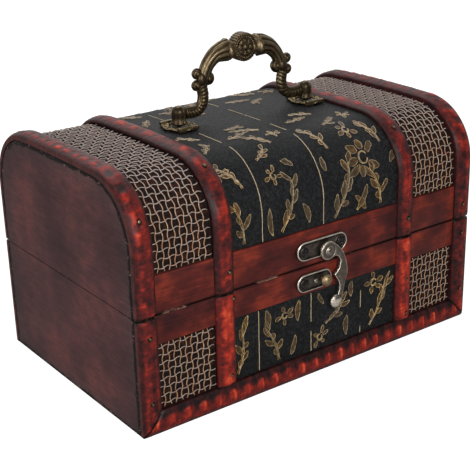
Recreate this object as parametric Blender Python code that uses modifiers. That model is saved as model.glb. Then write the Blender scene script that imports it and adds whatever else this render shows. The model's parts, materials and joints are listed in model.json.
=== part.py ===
"""Domed wooden jewellery box with a hinged lid, a swing hook latch and a carrying bail.

The frame: metres, +X along the box to the right seen from the front, -Y to the front,
+Z up. The origin is the middle of the underside. The lid is shut, the bail stands up
and the hook hangs beside its stud.
"""

import math

import bmesh
import bpy
from mathutils import Matrix, Vector

OBJECT_NAME = "jewelry_box"

# Box: outer sizes of the boards, without trims
LENGTH = 0.225
DEPTH = 0.134
SEAM_HEIGHT = 0.0635
CROWN_HEIGHT = 0.1277
CORNER_RADIUS = 0.030
CROWN_RADIUS = 1.2
CORNER_STEPS = 9
CROWN_STEPS = 4

# Boards and linings
END_BOARD = 0.006
WALL_BOARD = 0.006
BOTTOM_BOARD = 0.004
LID_SHELL = 0.005
LINING_THICKNESS = 0.001

# Coverings glued on the boards. The lid's bands take a share of its upright wall
WEAVE = 0.0012
LEATHER = 0.0012
BAND = 0.0016
LID_BAND_SHARE = 0.6
BODY_BAND_HEIGHT = 0.0156

# Half-round trims: widths, height over the boards, and the outline across one of them
TRIM_PROUD = 0.0043
END_TRIM_WIDTH = 0.0113
BOTTOM_TRIM_WIDTH = 0.0122
STRAP_WIDTH = 0.0113
STRAP_CENTRE = 0.0615
TRIM_OUTLINE_SHARES = (
    (0, 0), (1, 0), (1, 0.5), (0.93, 0.78), (0.75, 0.95),
    (0.5, 1), (0.25, 0.95), (0.07, 0.78), (0, 0.5),
)

# Clearances
GAP = 0.0003
BOARD_SEAM = 0.0004
BAND_SEAM = 0.0008
TRIM_SEAM = 0.0008
OVERRUN = 0.002
MERGE = 0.00001
ROUND_STEPS = 20
SMOOTH_ANGLE = 35

# Butt hinges on the back
HINGE_LENGTH = 0.022
HINGE_MARGIN = 0.006
HINGE_LEAF = 0.0008
HINGE_LEAF_HEIGHT = 0.0115
KNUCKLE_RADIUS = 0.0018
KNUCKLE_SHARE = 0.34
HINGE_PIN_RADIUS = 0.0008
HINGE_PIN_HEAD_RADIUS = 0.0014
HINGE_PIN_HEAD = 0.0008

# Outlines of the turned heads from the top down, in shares of their radius and height
SCREW_HEAD_SHARES = ((0, 1), (0.6, 0.85), (1, 0.25), (1, 0))
RIVET_HEAD_SHARES = ((0, 1), (0.6, 0.8), (1, 0.3), (1, 0))
STUD_HEAD_SHARES = ((0, 1), (0.45, 0.92), (0.8, 0.62), (1, 0.25), (1, 0))
SMALL_PIN_SHARES = ((0, 1), (0.7, 0.7), (1, 0))

# Latch plates and their screws
LATCH_SHIFT = 0.0012
LATCH_PLATE = 0.0012
UPPER_PLATE_LENGTH = 0.034
UPPER_PLATE_HEIGHT = 0.0105
UPPER_PLATE_RISE_SHARE = 0.455
LOWER_PLATE_LENGTH = 0.0235
LOWER_PLATE_HEIGHT = 0.0100
LOWER_PLATE_DROP_SHARE = 0.565
SCREW_INSET = 0.0045
SCREW_HEAD_RADIUS = 0.0028
SCREW_HEAD = 0.0008
SCREW_SHANK_RADIUS = 0.0012
SLOT_LENGTH = 0.0034
SLOT_WIDTH = 0.0007
SLOT_DEPTH = 0.0005

# Latch hook, its rivet, the catch stud and the small pin beside it
PIVOT_RIGHT = 0.0021
PIVOT_DROP = 0.0019
EYE_RADIUS = 0.0052
EYE_TO = 62
EYE_FROM = -55
EYE_STEPS = 16
HOOK_THICKNESS = 0.0016
HOOK_STANDOFF = 0.0013
HOOK_REACH = 0.0306
HOOK_OUTER_SHARES = (
    (0.214, 0.042), (0.330, -0.095), (0.402, -0.297), (0.428, -0.454), (0.418, -0.552),
    (0.373, -0.657), (0.355, -0.725), (0.330, -0.830), (0.306, -0.960),
)
HOOK_INNER_SHARES = (
    (0.200, -0.990), (0.215, -0.880), (0.243, -0.800), (0.250, -0.725), (0.225, -0.634),
    (0.135, -0.487), (0.242, -0.382), (0.268, -0.258), (0.232, -0.176), (0.173, -0.134),
)
BULB_SIDE_SHARE = 0.183
BULB_RADIUS = 0.0039
BULB_THICKNESS = 0.0034
RIVET_RADIUS = 0.0016
RIVET_HEAD_RADIUS = 0.0027
RIVET_HEAD = 0.0014
RIVET_COLLAR_RADIUS = 0.0032
STUD_LEFT = 0.0021
STUD_RADIUS = 0.0034
STUD_SHANK_RADIUS = 0.0017
STUD_HEAD = 0.0024
SMALL_PIN_LEFT = 0.0068
SMALL_PIN_RADIUS = 0.0015
SMALL_PIN_HEAD = 0.0010

# Handle posts and their pierced plates
HANDLE_SHIFT = 0.0035
POST_RADIUS = 0.0038
POST_HEIGHT = 0.0100
DOME_STEPS = 5
BAIL_AXIS_SHARE = 0.52
TENON_RADIUS = 0.0015
HANDLE_PLATE = 0.0015
HANDLE_PLATE_WIDTH = 0.0162
HANDLE_PLATE_DEPTH = 0.0215
HANDLE_PLATE_MARGIN = 0.00045
PLATE_LOBES = 8
PLATE_LOBE_STEPS = 6
PLATE_LOBE_SHARE = 0.12
PLATE_HOLES = 4
PLATE_HOLE_RADIUS = 0.0021
PLATE_HOLE_SHARE = 0.62

# Bail: its legs' path in shares of half the post spacing and of the bail's rise, its arms'
# from the collar to the knot, and its scrolls' places from the leg's end in their radii
BAIL_RISE = 0.0304
BAIL_DEPTH_SHARE = 0.76
BAIL_PIN_RADIUS = 0.0019
BAIL_PIN_PAST_CENTRE = 0.001
LEG_RADIUS = 0.0029
LEG_PATH_SHARES = (
    (0.79, -0.01), (0.705, 0.03), (0.65, 0.12), (0.63, 0.25), (0.637, 0.39), (0.625, 0.52),
)
ARM_RADIUS = 0.0038
FLARE_RADIUS = 0.0062
KNOT_SHARE = 0.6
ARM_PATH_SHARES = (
    (1, 0.55, 0), (0.90, 0.68, 0.04), (0.77, 0.80, 0.12),
    (0.51, 0.925, 0.38), (0.21, 0.975, 0.85), (0, 0.985, 1),
)
SCROLL_PLACE_SHARES = ((-1.13, 0.17, 1), (0.73, 1.07, 0.8), (0.84, -0.57, 0.8))
SCROLL_RADIUS = 0.0036
COLLAR_RADIUS = 0.0056
COLLAR_LENGTH = 0.0042
ROSETTE_RADIUS = 0.0078
ROSETTE_THICKNESS = 0.0076
ROSETTE_OUTLINE_SHARES = (
    (0, 1), (0.25, 0.9), (0.36, 0.66), (0.62, 0.72), (0.8, 0.6), (0.86, 0.5),
    (0.97, 0.5), (1, 0.3), (1, -0.3), (0.97, -0.5),
    (0.86, -0.5), (0.8, -0.6), (0.62, -0.72), (0.36, -0.66), (0.25, -0.9), (0, -1),
)
PATH_STEPS = 3
TUBE_RESOLUTION = 3
BALL_STEPS = 12

# Places that follow from the sizes above
HALF_LENGTH = LENGTH / 2
HALF_DEPTH = DEPTH / 2
CORNER_Y = HALF_DEPTH - CORNER_RADIUS
CROWN_Z = CROWN_HEIGHT - CROWN_RADIUS
CORNER_Z = CROWN_Z + math.sqrt((CROWN_RADIUS - CORNER_RADIUS) ** 2 - CORNER_Y ** 2)
CORNER_ANGLE = math.atan2(CORNER_Z - CROWN_Z, CORNER_Y)
INNER_HALF = HALF_LENGTH - END_BOARD - GAP
STRAP_INNER_EDGE = STRAP_CENTRE - STRAP_WIDTH / 2
COVER_HALF = HALF_LENGTH - END_TRIM_WIDTH - GAP
LID_BAND_HEIGHT = (CORNER_Z - SEAM_HEIGHT) * LID_BAND_SHARE
LID_BAND_TOP = SEAM_HEIGHT + LID_BAND_HEIGHT
BODY_BAND_BOTTOM = SEAM_HEIGHT - BODY_BAND_HEIGHT
BAND_OUT = GAP + BAND
STRAP_SEAT = BAND_OUT + GAP
HINGE_AXIS_OUT = STRAP_SEAT + KNUCKLE_RADIUS
HINGE_CENTRE = STRAP_INNER_EDGE - HINGE_MARGIN - HINGE_LENGTH / 2
LATCH_SEAT = BAND_OUT + GAP
LATCH_OUT = LATCH_SEAT + LATCH_PLATE
HOOK_BACK = LATCH_OUT + HOOK_STANDOFF
HOOK_OUT = HOOK_BACK + HOOK_THICKNESS
UPPER_PLATE_Z = SEAM_HEIGHT + LID_BAND_HEIGHT * UPPER_PLATE_RISE_SHARE
LOWER_PLATE_Z = SEAM_HEIGHT - BODY_BAND_HEIGHT * LOWER_PLATE_DROP_SHARE
LOWER_PLATE_X = LATCH_SHIFT - (UPPER_PLATE_LENGTH - LOWER_PLATE_LENGTH) / 2
PIVOT_X = LATCH_SHIFT + PIVOT_RIGHT
PIVOT_Z = UPPER_PLATE_Z - PIVOT_DROP
STUD_X = PIVOT_X - STUD_LEFT
SMALL_PIN_X = PIVOT_X - SMALL_PIN_LEFT
UPPER_SCREWS = [
    (LATCH_SHIFT + side * (UPPER_PLATE_LENGTH / 2 - SCREW_INSET), UPPER_PLATE_Z)
    for side in (-1, 1)
]
LOWER_SCREW = (LOWER_PLATE_X - LOWER_PLATE_LENGTH / 2 + SCREW_INSET, LOWER_PLATE_Z)
HANDLE_PLATE_Z = CROWN_HEIGHT + GAP + LEATHER + GAP
POST_Z = HANDLE_PLATE_Z + HANDLE_PLATE + GAP
BAIL_AXIS_Z = POST_Z + POST_HEIGHT * BAIL_AXIS_SHARE
HALF_SPACING = STRAP_INNER_EDGE - HANDLE_PLATE_MARGIN - HANDLE_PLATE_WIDTH / 2 - HANDLE_SHIFT
ARM_START = ROSETTE_RADIUS + COLLAR_LENGTH / 2
ARM_REACH = HALF_SPACING * KNOT_SHARE - ARM_START

FRONT, BACK, LEFT, RIGHT = -1, 1, -1, 1
SIDE_NAMES = {LEFT: "left", RIGHT: "right"}
WALL_NAMES = {FRONT: "front", BACK: "back"}

# Colour, roughness and metallic value of each finish
FINISHES = {
    "end_board": ((0.070, 0.028, 0.026), 0.45, 0.0),
    "inner_board": ((0.21, 0.12, 0.065), 0.6, 0.0),
    "band_wood": ((0.160, 0.027, 0.020), 0.4, 0.0),
    "trim": ((0.260, 0.030, 0.020), 0.4, 0.0),
    "weave": ((0.36, 0.24, 0.18), 0.8, 0.0),
    "leather": ((0.020, 0.022, 0.024), 0.6, 0.0),
    "lining": ((0.12, 0.012, 0.016), 0.95, 0.0),
    "handle_bronze": ((0.16, 0.12, 0.065), 0.4, 0.9),
    "latch_metal": ((0.22, 0.19, 0.155), 0.38, 0.9),
    "brass": ((0.36, 0.24, 0.11), 0.35, 0.9),
}


def clear_scene():
    for obj in list(bpy.data.objects):
        bpy.data.objects.remove(obj, do_unlink=True)


def new_collection(name):
    collection = bpy.data.collections.new(name)
    bpy.context.scene.collection.children.link(collection)
    return collection


def make_finish(name):
    colour, roughness, metallic = FINISHES[name]
    finish = bpy.data.materials.new(name)
    finish.use_nodes = True
    shader = finish.node_tree.nodes["Principled BSDF"]
    shader.inputs["Base Color"].default_value = (*colour, 1)
    shader.inputs["Roughness"].default_value = roughness
    shader.inputs["Metallic"].default_value = metallic
    finish.diffuse_color = (*colour, 1)
    return finish


def add_mesh(name, bm, finish, matrix=None, smooth=False):
    """A new part from a bmesh, at the place and turn of the matrix."""
    mesh = bpy.data.meshes.new(name)
    bmesh.ops.recalc_face_normals(bm, faces=bm.faces)
    bm.to_mesh(mesh)
    bm.free()
    if smooth:
        mesh.shade_smooth()
        mesh.set_sharp_from_angle(angle=math.radians(SMOOTH_ANGLE))
    mesh.materials.append(MATERIALS[finish])
    obj = bpy.data.objects.new(name, mesh)
    PARTS.objects.link(obj)
    obj.matrix_world = matrix or Matrix()
    return obj


def from_curve(name, curve, finish, matrix, smooth=False):
    """The solid of a curve as a mesh object, with its caps welded."""
    draft = bpy.data.objects.new(name + "_draft", curve)
    PARTS.objects.link(draft)
    draft.matrix_world = matrix
    evaluated = draft.evaluated_get(bpy.context.evaluated_depsgraph_get())
    mesh = bpy.data.meshes.new_from_object(evaluated)
    bm = bmesh.new()
    bm.from_mesh(mesh)
    bmesh.ops.remove_doubles(bm, verts=bm.verts, dist=MERGE)
    bpy.data.objects.remove(draft)
    bpy.data.meshes.remove(mesh)
    return add_mesh(name, bm, finish, matrix, smooth)


def frame(centre, across, up):
    """A placing whose local X, Y and Z run along across, up and the square of both."""
    across, up = Vector(across), Vector(up)
    turn = Matrix((across, up, across.cross(up))).transposed().to_4x4()
    return Matrix.Translation(Vector(centre)) @ turn


def prism(name, outlines, depth, placing, finish, smooth=False):
    """Flat outlines, the first with the others as its holes, given a thickness."""
    curve = bpy.data.curves.new(name, "CURVE")
    curve.dimensions = "2D"
    curve.fill_mode = "BOTH"
    curve.extrude = depth / 2
    for outline in outlines:
        spline = curve.splines.new("POLY")
        spline.points.add(len(outline) - 1)
        for point, (u, v) in zip(spline.points, outline):
            point.co = (u, v, 0, 1)
        spline.use_cyclic_u = True
    return from_curve(name, curve, finish, placing, smooth)


def box(name, low, high, finish):
    """A board between two corners, with its origin at its middle."""
    low, high = Vector(low), Vector(high)
    size = high - low
    bm = bmesh.new()
    bmesh.ops.create_cube(bm, size=1, matrix=Matrix.Diagonal((*size, 1)))
    return add_mesh(name, bm, finish, Matrix.Translation((low + high) / 2))


def rod(name, start, end, radius, finish, steps=ROUND_STEPS):
    """A round bar between two points."""
    start, end = Vector(start), Vector(end)
    bm = bmesh.new()
    bmesh.ops.create_cone(
        bm, cap_ends=True, segments=steps, radius1=radius, radius2=radius,
        depth=(end - start).length,
    )
    turn = (end - start).to_track_quat("Z", "Y").to_matrix().to_4x4()
    return add_mesh(name, bm, finish, Matrix.Translation((start + end) / 2) @ turn, True)


def ball(name, centre, sizes, finish):
    """A ball with its own half size along each axis."""
    bm = bmesh.new()
    bmesh.ops.create_uvsphere(
        bm, u_segments=BALL_STEPS, v_segments=BALL_STEPS * 2 // 3, radius=1,
        matrix=Matrix.Diagonal((*sizes, 1)),
    )
    return add_mesh(name, bm, finish, Matrix.Translation(Vector(centre)), True)


def turned(name, outline, base, axis, finish, steps=ROUND_STEPS):
    """A shape turned round an axis. Its outline runs from the top down the outer side."""
    mesh = bpy.data.meshes.new(name)
    points = [(radius, 0, height) for radius, height in outline]
    mesh.from_pydata(points, [(i, i + 1) for i in range(len(points) - 1)], [])
    draft = bpy.data.objects.new(name + "_draft", mesh)
    PARTS.objects.link(draft)
    screw = draft.modifiers.new("turn", "SCREW")
    screw.steps = steps
    screw.render_steps = steps
    screw.use_merge_vertices = True
    screw.merge_threshold = MERGE
    bm = bmesh.new()
    bm.from_object(draft, bpy.context.evaluated_depsgraph_get())
    bpy.data.objects.remove(draft)
    turn = Vector(axis).to_track_quat("Z", "Y").to_matrix().to_4x4()
    return add_mesh(name, bm, finish, Matrix.Translation(Vector(base)) @ turn, True)


def use_boolean(target, tool, operation):
    modifier = target.modifiers.new(tool.name, "BOOLEAN")
    modifier.operation = operation
    modifier.solver = "EXACT"
    modifier.object = tool


def cut(target, tool):
    """Leaves the tool in the cutters' collection, hidden, and cuts the target with it."""
    use_boolean(target, tool, "DIFFERENCE")
    if tool.name in PARTS.objects:
        PARTS.objects.unlink(tool)
        CUTTERS.objects.link(tool)
    tool.hide_render = True
    tool.display_type = "WIRE"


def weld(target, pieces):
    """One solid from a part and the pieces that are fused to it."""
    for piece in pieces:
        use_boolean(target, piece, "UNION")
    evaluated = target.evaluated_get(bpy.context.evaluated_depsgraph_get())
    mesh = bpy.data.meshes.new_from_object(evaluated)
    target.modifiers.clear()
    target.data = mesh
    for piece in pieces:
        bpy.data.objects.remove(piece)
    return target


def circle(x, y, radius, steps=ROUND_STEPS):
    turns = [2 * math.pi * step / steps for step in range(steps)]
    return [(x + radius * math.cos(turn), y + radius * math.sin(turn)) for turn in turns]


def stadium(x, y, length, height):
    """The outline of a plate with round ends."""
    radius = height / 2
    reach = length / 2 - radius
    points = []
    for side in (RIGHT, LEFT):
        for step in range(ROUND_STEPS // 2 + 1):
            turn = 2 * math.pi * step / ROUND_STEPS - side * math.pi / 2
            points.append((x + side * reach + radius * math.cos(turn), y + radius * math.sin(turn)))
    return points


def rectangle(low_u, low_v, high_u, high_v):
    return [(low_u, low_v), (high_u, low_v), (high_u, high_v), (low_u, high_v)]


def arch(offset, base):
    """Points (y, z) of the lid's outline, set out by offset, from one foot to the other."""
    half = []
    for step in range(CORNER_STEPS + 1):
        turn = CORNER_ANGLE * step / CORNER_STEPS
        reach = CORNER_RADIUS + offset
        half.append((CORNER_Y + reach * math.cos(turn), CORNER_Z + reach * math.sin(turn)))
    for step in range(1, CROWN_STEPS + 1):
        turn = CORNER_ANGLE + (math.pi / 2 - CORNER_ANGLE) * step / CROWN_STEPS
        reach = CROWN_RADIUS + offset
        half.append((reach * math.cos(turn), CROWN_Z + reach * math.sin(turn)))
    half.insert(0, (HALF_DEPTH + offset, base))
    return [(-y, z) for y, z in half] + half[-2::-1]


def arched(name, inner, outer, base, low_x, high_x, finish):
    """A sheet bent over the dome, between two offsets from the boards' outline."""
    outline = arch(outer, base) + arch(inner, base)[::-1]
    placing = frame(((low_x + high_x) / 2, 0, 0), (0, 1, 0), (0, 0, 1))
    return prism(name, [outline], high_x - low_x, placing, finish, True)


def trim_outline(width, seat, centred=False):
    shift = width / 2 if centred else 0
    height = TRIM_PROUD - seat
    return [(u * width - shift, seat + v * height) for u, v in TRIM_OUTLINE_SHARES]


def slice_off(obj, point, normal):
    """Cuts a part square through with a plane and drops the side the normal points to."""
    into = obj.matrix_world.inverted()
    bm = bmesh.new()
    bm.from_mesh(obj.data)
    bmesh.ops.bisect_plane(
        bm, geom=bm.verts[:] + bm.edges[:] + bm.faces[:], dist=MERGE,
        plane_co=into @ Vector(point), plane_no=into.to_3x3() @ Vector(normal),
        clear_outer=True,
    )
    bmesh.ops.holes_fill(bm, edges=[edge for edge in bm.edges if edge.is_boundary])
    bmesh.ops.recalc_face_normals(bm, faces=bm.faces)
    bm.to_mesh(obj.data)
    bm.free()


def ride_with(pieces, empty):
    """Parents pieces to the empty on their axis, and leaves them where they are."""
    for piece in pieces:
        piece.parent = empty
        piece.matrix_parent_inverse = empty.matrix_world.inverted()


def axis_empty(name, place):
    empty = bpy.data.objects.new(name, None)
    PARTS.objects.link(empty)
    empty.location = place
    bpy.context.view_layer.update()
    return empty


def body_boards():
    """Two ends, front and back between them, a bottom and the cloth lining."""
    top = SEAM_HEIGHT - BOARD_SEAM / 2
    for side in (LEFT, RIGHT):
        near, far = sorted((side * (HALF_LENGTH - END_BOARD), side * HALF_LENGTH))
        name = "body_end_" + SIDE_NAMES[side]
        box(name, (near, -HALF_DEPTH, 0), (far, HALF_DEPTH, top), "end_board")
    for wall in (FRONT, BACK):
        near, far = sorted((wall * (HALF_DEPTH - WALL_BOARD), wall * HALF_DEPTH))
        name = "body_" + WALL_NAMES[wall]
        box(name, (-INNER_HALF, near, 0), (INNER_HALF, far, top), "inner_board")
    inner_y = HALF_DEPTH - WALL_BOARD - GAP
    low = (-INNER_HALF, -inner_y, 0)
    box("body_bottom", low, (INNER_HALF, inner_y, BOTTOM_BOARD), "inner_board")
    low = (-INNER_HALF, -inner_y, BOTTOM_BOARD + GAP)
    lining = box("body_lining", low, (INNER_HALF, inner_y, top), "lining")
    within = [place + LINING_THICKNESS for place in low]
    cut(lining, box("body_hollow", within, (-within[0], -within[1], top + OVERRUN), "lining"))


def lid_boards():
    """Two arched ends, the bent shell between them and the cloth lining."""
    base = SEAM_HEIGHT + BOARD_SEAM / 2
    pieces = []
    for side in (LEFT, RIGHT):
        centre = side * (HALF_LENGTH - END_BOARD / 2)
        placing = frame((centre, 0, 0), (0, 1, 0), (0, 0, 1))
        name = "lid_end_" + SIDE_NAMES[side]
        pieces.append(prism(name, [arch(0, base)], END_BOARD, placing, "end_board", True))
    pieces.append(arched("lid_shell", -LID_SHELL, 0, base, -INNER_HALF, INNER_HALF, "inner_board"))
    placing = frame((0, 0, 0), (0, 1, 0), (0, 0, 1))
    outside = arch(-LID_SHELL - GAP, base)
    lining = prism("lid_lining", [outside], 2 * INNER_HALF, placing, "lining", True)
    inside = arch(-LID_SHELL - GAP - LINING_THICKNESS, base - OVERRUN)
    length = 2 * (INNER_HALF - LINING_THICKNESS)
    cut(lining, prism("lid_hollow", [inside], length, placing, "lining"))
    pieces.append(lining)
    return pieces


def wall_sheet(name, wall, outline, holes, depth, finish):
    """A sheet glued on the front or the back, with its outline in x and z."""
    centre = (0, wall * (HALF_DEPTH + GAP + depth / 2), 0)
    return prism(name, [outline, *holes], depth, frame(centre, (1, 0, 0), (0, 0, 1)), finish)


def body_coverings():
    """Woven sheets and leather between the bottom trim and the band, on both walls."""
    low = BOTTOM_TRIM_WIDTH + GAP
    high = BODY_BAND_BOTTOM - GAP
    inner = STRAP_CENTRE + GAP / 2
    middle = STRAP_CENTRE - GAP / 2
    hole = SCREW_SHANK_RADIUS + GAP
    for wall in (FRONT, BACK):
        wall_name = WALL_NAMES[wall]
        for side in (LEFT, RIGHT):
            near, far = sorted((side * inner, side * COVER_HALF))
            name = "body_weave_" + wall_name + "_" + SIDE_NAMES[side]
            wall_sheet(name, wall, rectangle(near, low, far, high), [], WEAVE, "weave")
        outline = rectangle(-middle, low, middle, high)
        wall_sheet("body_leather_" + wall_name, wall, outline, [], LEATHER, "leather")
        outline = rectangle(-COVER_HALF, BODY_BAND_BOTTOM, COVER_HALF, SEAM_HEIGHT - BAND_SEAM / 2)
        holes = []
        if wall == FRONT:
            places = (LOWER_SCREW, (STUD_X, LOWER_PLATE_Z), (SMALL_PIN_X, LOWER_PLATE_Z))
            holes = [circle(x, z, hole) for x, z in places]
        wall_sheet("body_band_" + wall_name, wall, outline, holes, BAND, "band_wood")


def lid_coverings():
    """The same sheets bent over the dome, and the two bands above the seam."""
    base = LID_BAND_TOP + GAP
    inner = STRAP_CENTRE + GAP / 2
    middle = STRAP_CENTRE - GAP / 2
    pieces = []
    for side in (LEFT, RIGHT):
        near, far = sorted((side * inner, side * COVER_HALF))
        name = "lid_weave_" + SIDE_NAMES[side]
        pieces.append(arched(name, GAP, GAP + WEAVE, base, near, far, "weave"))
    leather = arched("lid_leather", GAP, GAP + LEATHER, base, -middle, middle, "leather")
    for side in (LEFT, RIGHT):
        x = HANDLE_SHIFT + side * HALF_SPACING
        name = "tenon_hole_" + SIDE_NAMES[side]
        low, high = CROWN_HEIGHT - OVERRUN, CROWN_HEIGHT + LEATHER + OVERRUN
        cut(leather, rod(name, (x, 0, low), (x, 0, high), TENON_RADIUS + GAP, "leather"))
    pieces.append(leather)
    hole = SCREW_SHANK_RADIUS + GAP
    for wall in (FRONT, BACK):
        outline = rectangle(-COVER_HALF, SEAM_HEIGHT + BAND_SEAM / 2, COVER_HALF, LID_BAND_TOP)
        holes = []
        if wall == FRONT:
            places = (*UPPER_SCREWS, (PIVOT_X, PIVOT_Z))
            holes = [circle(x, z, hole) for x, z in places]
        name = "lid_band_" + WALL_NAMES[wall]
        pieces.append(wall_sheet(name, wall, outline, holes, BAND, "band_wood"))
    return pieces


def upright_trim(name, wall, centre, width, seat, low, high):
    """A straight upright trim on the front or the back."""
    place = (centre, wall * HALF_DEPTH, (low + high) / 2)
    placing = frame(place, (1, 0, 0), (0, wall, 0))
    return prism(name, [trim_outline(width, seat, True)], high - low, placing, "trim", True)


def body_trims():
    """Corner trims mitred into the bottom trims, and the straps that end on these."""
    top = SEAM_HEIGHT - TRIM_SEAM / 2
    mitre = Vector((BOTTOM_TRIM_WIDTH, 0, -END_TRIM_WIDTH)).normalized()
    for wall in (FRONT, BACK):
        wall_name = WALL_NAMES[wall]
        for side in (LEFT, RIGHT):
            centre = side * (HALF_LENGTH - END_TRIM_WIDTH / 2)
            name = "corner_trim_" + wall_name + "_" + SIDE_NAMES[side]
            corner = upright_trim(name, wall, centre, END_TRIM_WIDTH, GAP, 0, top)
            away = Vector((-side * mitre.x, 0, mitre.z))
            foot = Vector((side * HALF_LENGTH, wall * HALF_DEPTH, 0))
            slice_off(corner, foot - away * GAP / 2, away)
            name = "body_strap_" + wall_name + "_" + SIDE_NAMES[side]
            low = BOTTOM_TRIM_WIDTH + GAP
            upright_trim(name, wall, side * STRAP_CENTRE, STRAP_WIDTH, STRAP_SEAT, low, top)
        placing = frame((0, wall * HALF_DEPTH, 0), (0, 0, 1), (0, wall, 0))
        outline = trim_outline(BOTTOM_TRIM_WIDTH, GAP)
        bottom = prism("bottom_trim_" + wall_name, [outline], LENGTH, placing, "trim", True)
        for side in (LEFT, RIGHT):
            away = Vector((side * mitre.x, 0, -mitre.z))
            foot = Vector((side * HALF_LENGTH, wall * HALF_DEPTH, 0))
            slice_off(bottom, foot - away * GAP / 2, away)


def arched_trim(name, centre, width, seat):
    """A half-round trim bent over the dome from the front seam to the back seam."""
    section = bpy.data.curves.new(name + "_section", "CURVE")
    section.dimensions = "2D"
    spline = section.splines.new("POLY")
    outline = trim_outline(width, seat, True)
    spline.points.add(len(outline) - 1)
    for point, (u, v) in zip(spline.points, outline):
        point.co = (-v + seat, u, 0, 1)
    spline.use_cyclic_u = True
    guide = bpy.data.objects.new(name + "_section", section)
    path = bpy.data.curves.new(name, "CURVE")
    path.dimensions = "2D"
    spline = path.splines.new("POLY")
    points = arch(seat, SEAM_HEIGHT + TRIM_SEAM / 2)
    spline.points.add(len(points) - 1)
    for point, (y, z) in zip(spline.points, points):
        point.co = (y, z, 0, 1)
    path.bevel_mode = "OBJECT"
    path.bevel_object = guide
    path.use_fill_caps = True
    placing = frame((centre, 0, 0), (0, 1, 0), (0, 0, 1))
    trim = from_curve(name, path, "trim", placing, True)
    bpy.data.objects.remove(guide)
    return trim


def lid_trims():
    pieces = []
    for side in (LEFT, RIGHT):
        centre = side * (HALF_LENGTH - END_TRIM_WIDTH / 2)
        name = "lid_end_trim_" + SIDE_NAMES[side]
        pieces.append(arched_trim(name, centre, END_TRIM_WIDTH, GAP))
        name = "lid_strap_" + SIDE_NAMES[side]
        pieces.append(arched_trim(name, side * STRAP_CENTRE, STRAP_WIDTH, STRAP_SEAT))
    return pieces


def hinge_leaf(name, centre, turn_up, stations):
    """A leaf above the axis (turn_up 1) or below it (-1), with knuckles at its stations."""
    y_axis = HALF_DEPTH + HINGE_AXIS_OUT
    near = y_axis - KNUCKLE_RADIUS
    half = HINGE_LENGTH / 2
    edges = sorted((turn_up * (KNUCKLE_RADIUS + GAP), turn_up * HINGE_LEAF_HEIGHT))
    low = (centre - half, near, SEAM_HEIGHT + edges[0])
    high = (centre + half, near + HINGE_LEAF, SEAM_HEIGHT + edges[1])
    leaf = box(name, low, high, "brass")
    extra = []
    for number, (start, end) in enumerate(stations):
        x_low = centre - half + start * HINGE_LENGTH + (GAP / 2 if start > 0 else 0)
        x_high = centre - half + end * HINGE_LENGTH - (GAP / 2 if end < 1 else 0)
        reach = sorted((0, turn_up * (KNUCKLE_RADIUS + HINGE_LEAF)))
        low = (x_low, near, SEAM_HEIGHT + reach[0])
        high = (x_high, near + HINGE_LEAF, SEAM_HEIGHT + reach[1])
        extra.append(box(name + "_web_" + str(number), low, high, "brass"))
        ends = [(x, y_axis, SEAM_HEIGHT) for x in (x_low, x_high)]
        extra.append(rod(name + "_knuckle_" + str(number), *ends, KNUCKLE_RADIUS, "brass"))
    weld(leaf, extra)
    ends = [(centre + side * (half + OVERRUN), y_axis, SEAM_HEIGHT) for side in (LEFT, RIGHT)]
    cut(leaf, rod(name + "_bore", *ends, HINGE_PIN_RADIUS + GAP, "brass"))
    return leaf


def hinges():
    """Two butt hinges. Returns the leaves that ride with the lid."""
    lid_leaves = []
    first, last = KNUCKLE_SHARE, 1 - KNUCKLE_SHARE
    for side in (LEFT, RIGHT):
        centre = side * HINGE_CENTRE
        hinge_leaf("hinge_body_leaf_" + SIDE_NAMES[side], centre, -1, ((0, first), (last, 1)))
        name = "hinge_lid_leaf_" + SIDE_NAMES[side]
        lid_leaves.append(hinge_leaf(name, centre, 1, ((first, last),)))
        seat = HINGE_LENGTH + GAP
        outline = (
            (0, seat + HINGE_PIN_HEAD), (HINGE_PIN_HEAD_RADIUS, seat + HINGE_PIN_HEAD),
            (HINGE_PIN_HEAD_RADIUS, seat), (HINGE_PIN_RADIUS, seat), (HINGE_PIN_RADIUS, 0), (0, 0),
        )
        base = (centre - side * HINGE_LENGTH / 2, HALF_DEPTH + HINGE_AXIS_OUT, SEAM_HEIGHT)
        name = "hinge_pin_" + SIDE_NAMES[side]
        turned(name, outline, base, (side, 0, 0), "brass", ROUND_STEPS // 2)
    return lid_leaves


def latch_plate(name, x, z, length, height, holes):
    centre = (0, -HALF_DEPTH - LATCH_SEAT - LATCH_PLATE / 2, 0)
    outline = stadium(x, z, length, height)
    rings = [circle(*hole) for hole in holes]
    placing = frame(centre, (1, 0, 0), (0, 0, 1))
    return prism(name, [outline, *rings], LATCH_PLATE, placing, "latch_metal", True)


def head_outline(shares, radius, height, seat):
    """The outline of a turned head on its seat."""
    return [(u * radius, seat + v * height) for u, v in shares]


def pinned(name, x, z, outline, finish):
    """A turned piece on a latch plate, its shank let through the plate and the band."""
    seat = LATCH_OUT + GAP
    end = GAP + GAP
    shank = [(SCREW_SHANK_RADIUS, seat), (SCREW_SHANK_RADIUS, end), (0, end)]
    return turned(name, outline + shank, (x, -HALF_DEPTH, z), (0, -1, 0), finish)


def screw(name, x, z):
    """A round-headed screw with a cross slot."""
    seat = LATCH_OUT + GAP
    outline = head_outline(SCREW_HEAD_SHARES, SCREW_HEAD_RADIUS, SCREW_HEAD, seat)
    part = pinned(name, x, z, outline, "latch_metal")
    top = -HALF_DEPTH - seat - SCREW_HEAD
    long, short = SLOT_LENGTH / 2, SLOT_WIDTH / 2
    for number, (across, up) in enumerate(((long, short), (short, long))):
        low = (x - across, top - OVERRUN, z - up)
        high = (x + across, top + SLOT_DEPTH, z + up)
        cut(part, box(name + "_slot_" + str(number), low, high, "latch_metal"))
    return part


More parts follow.
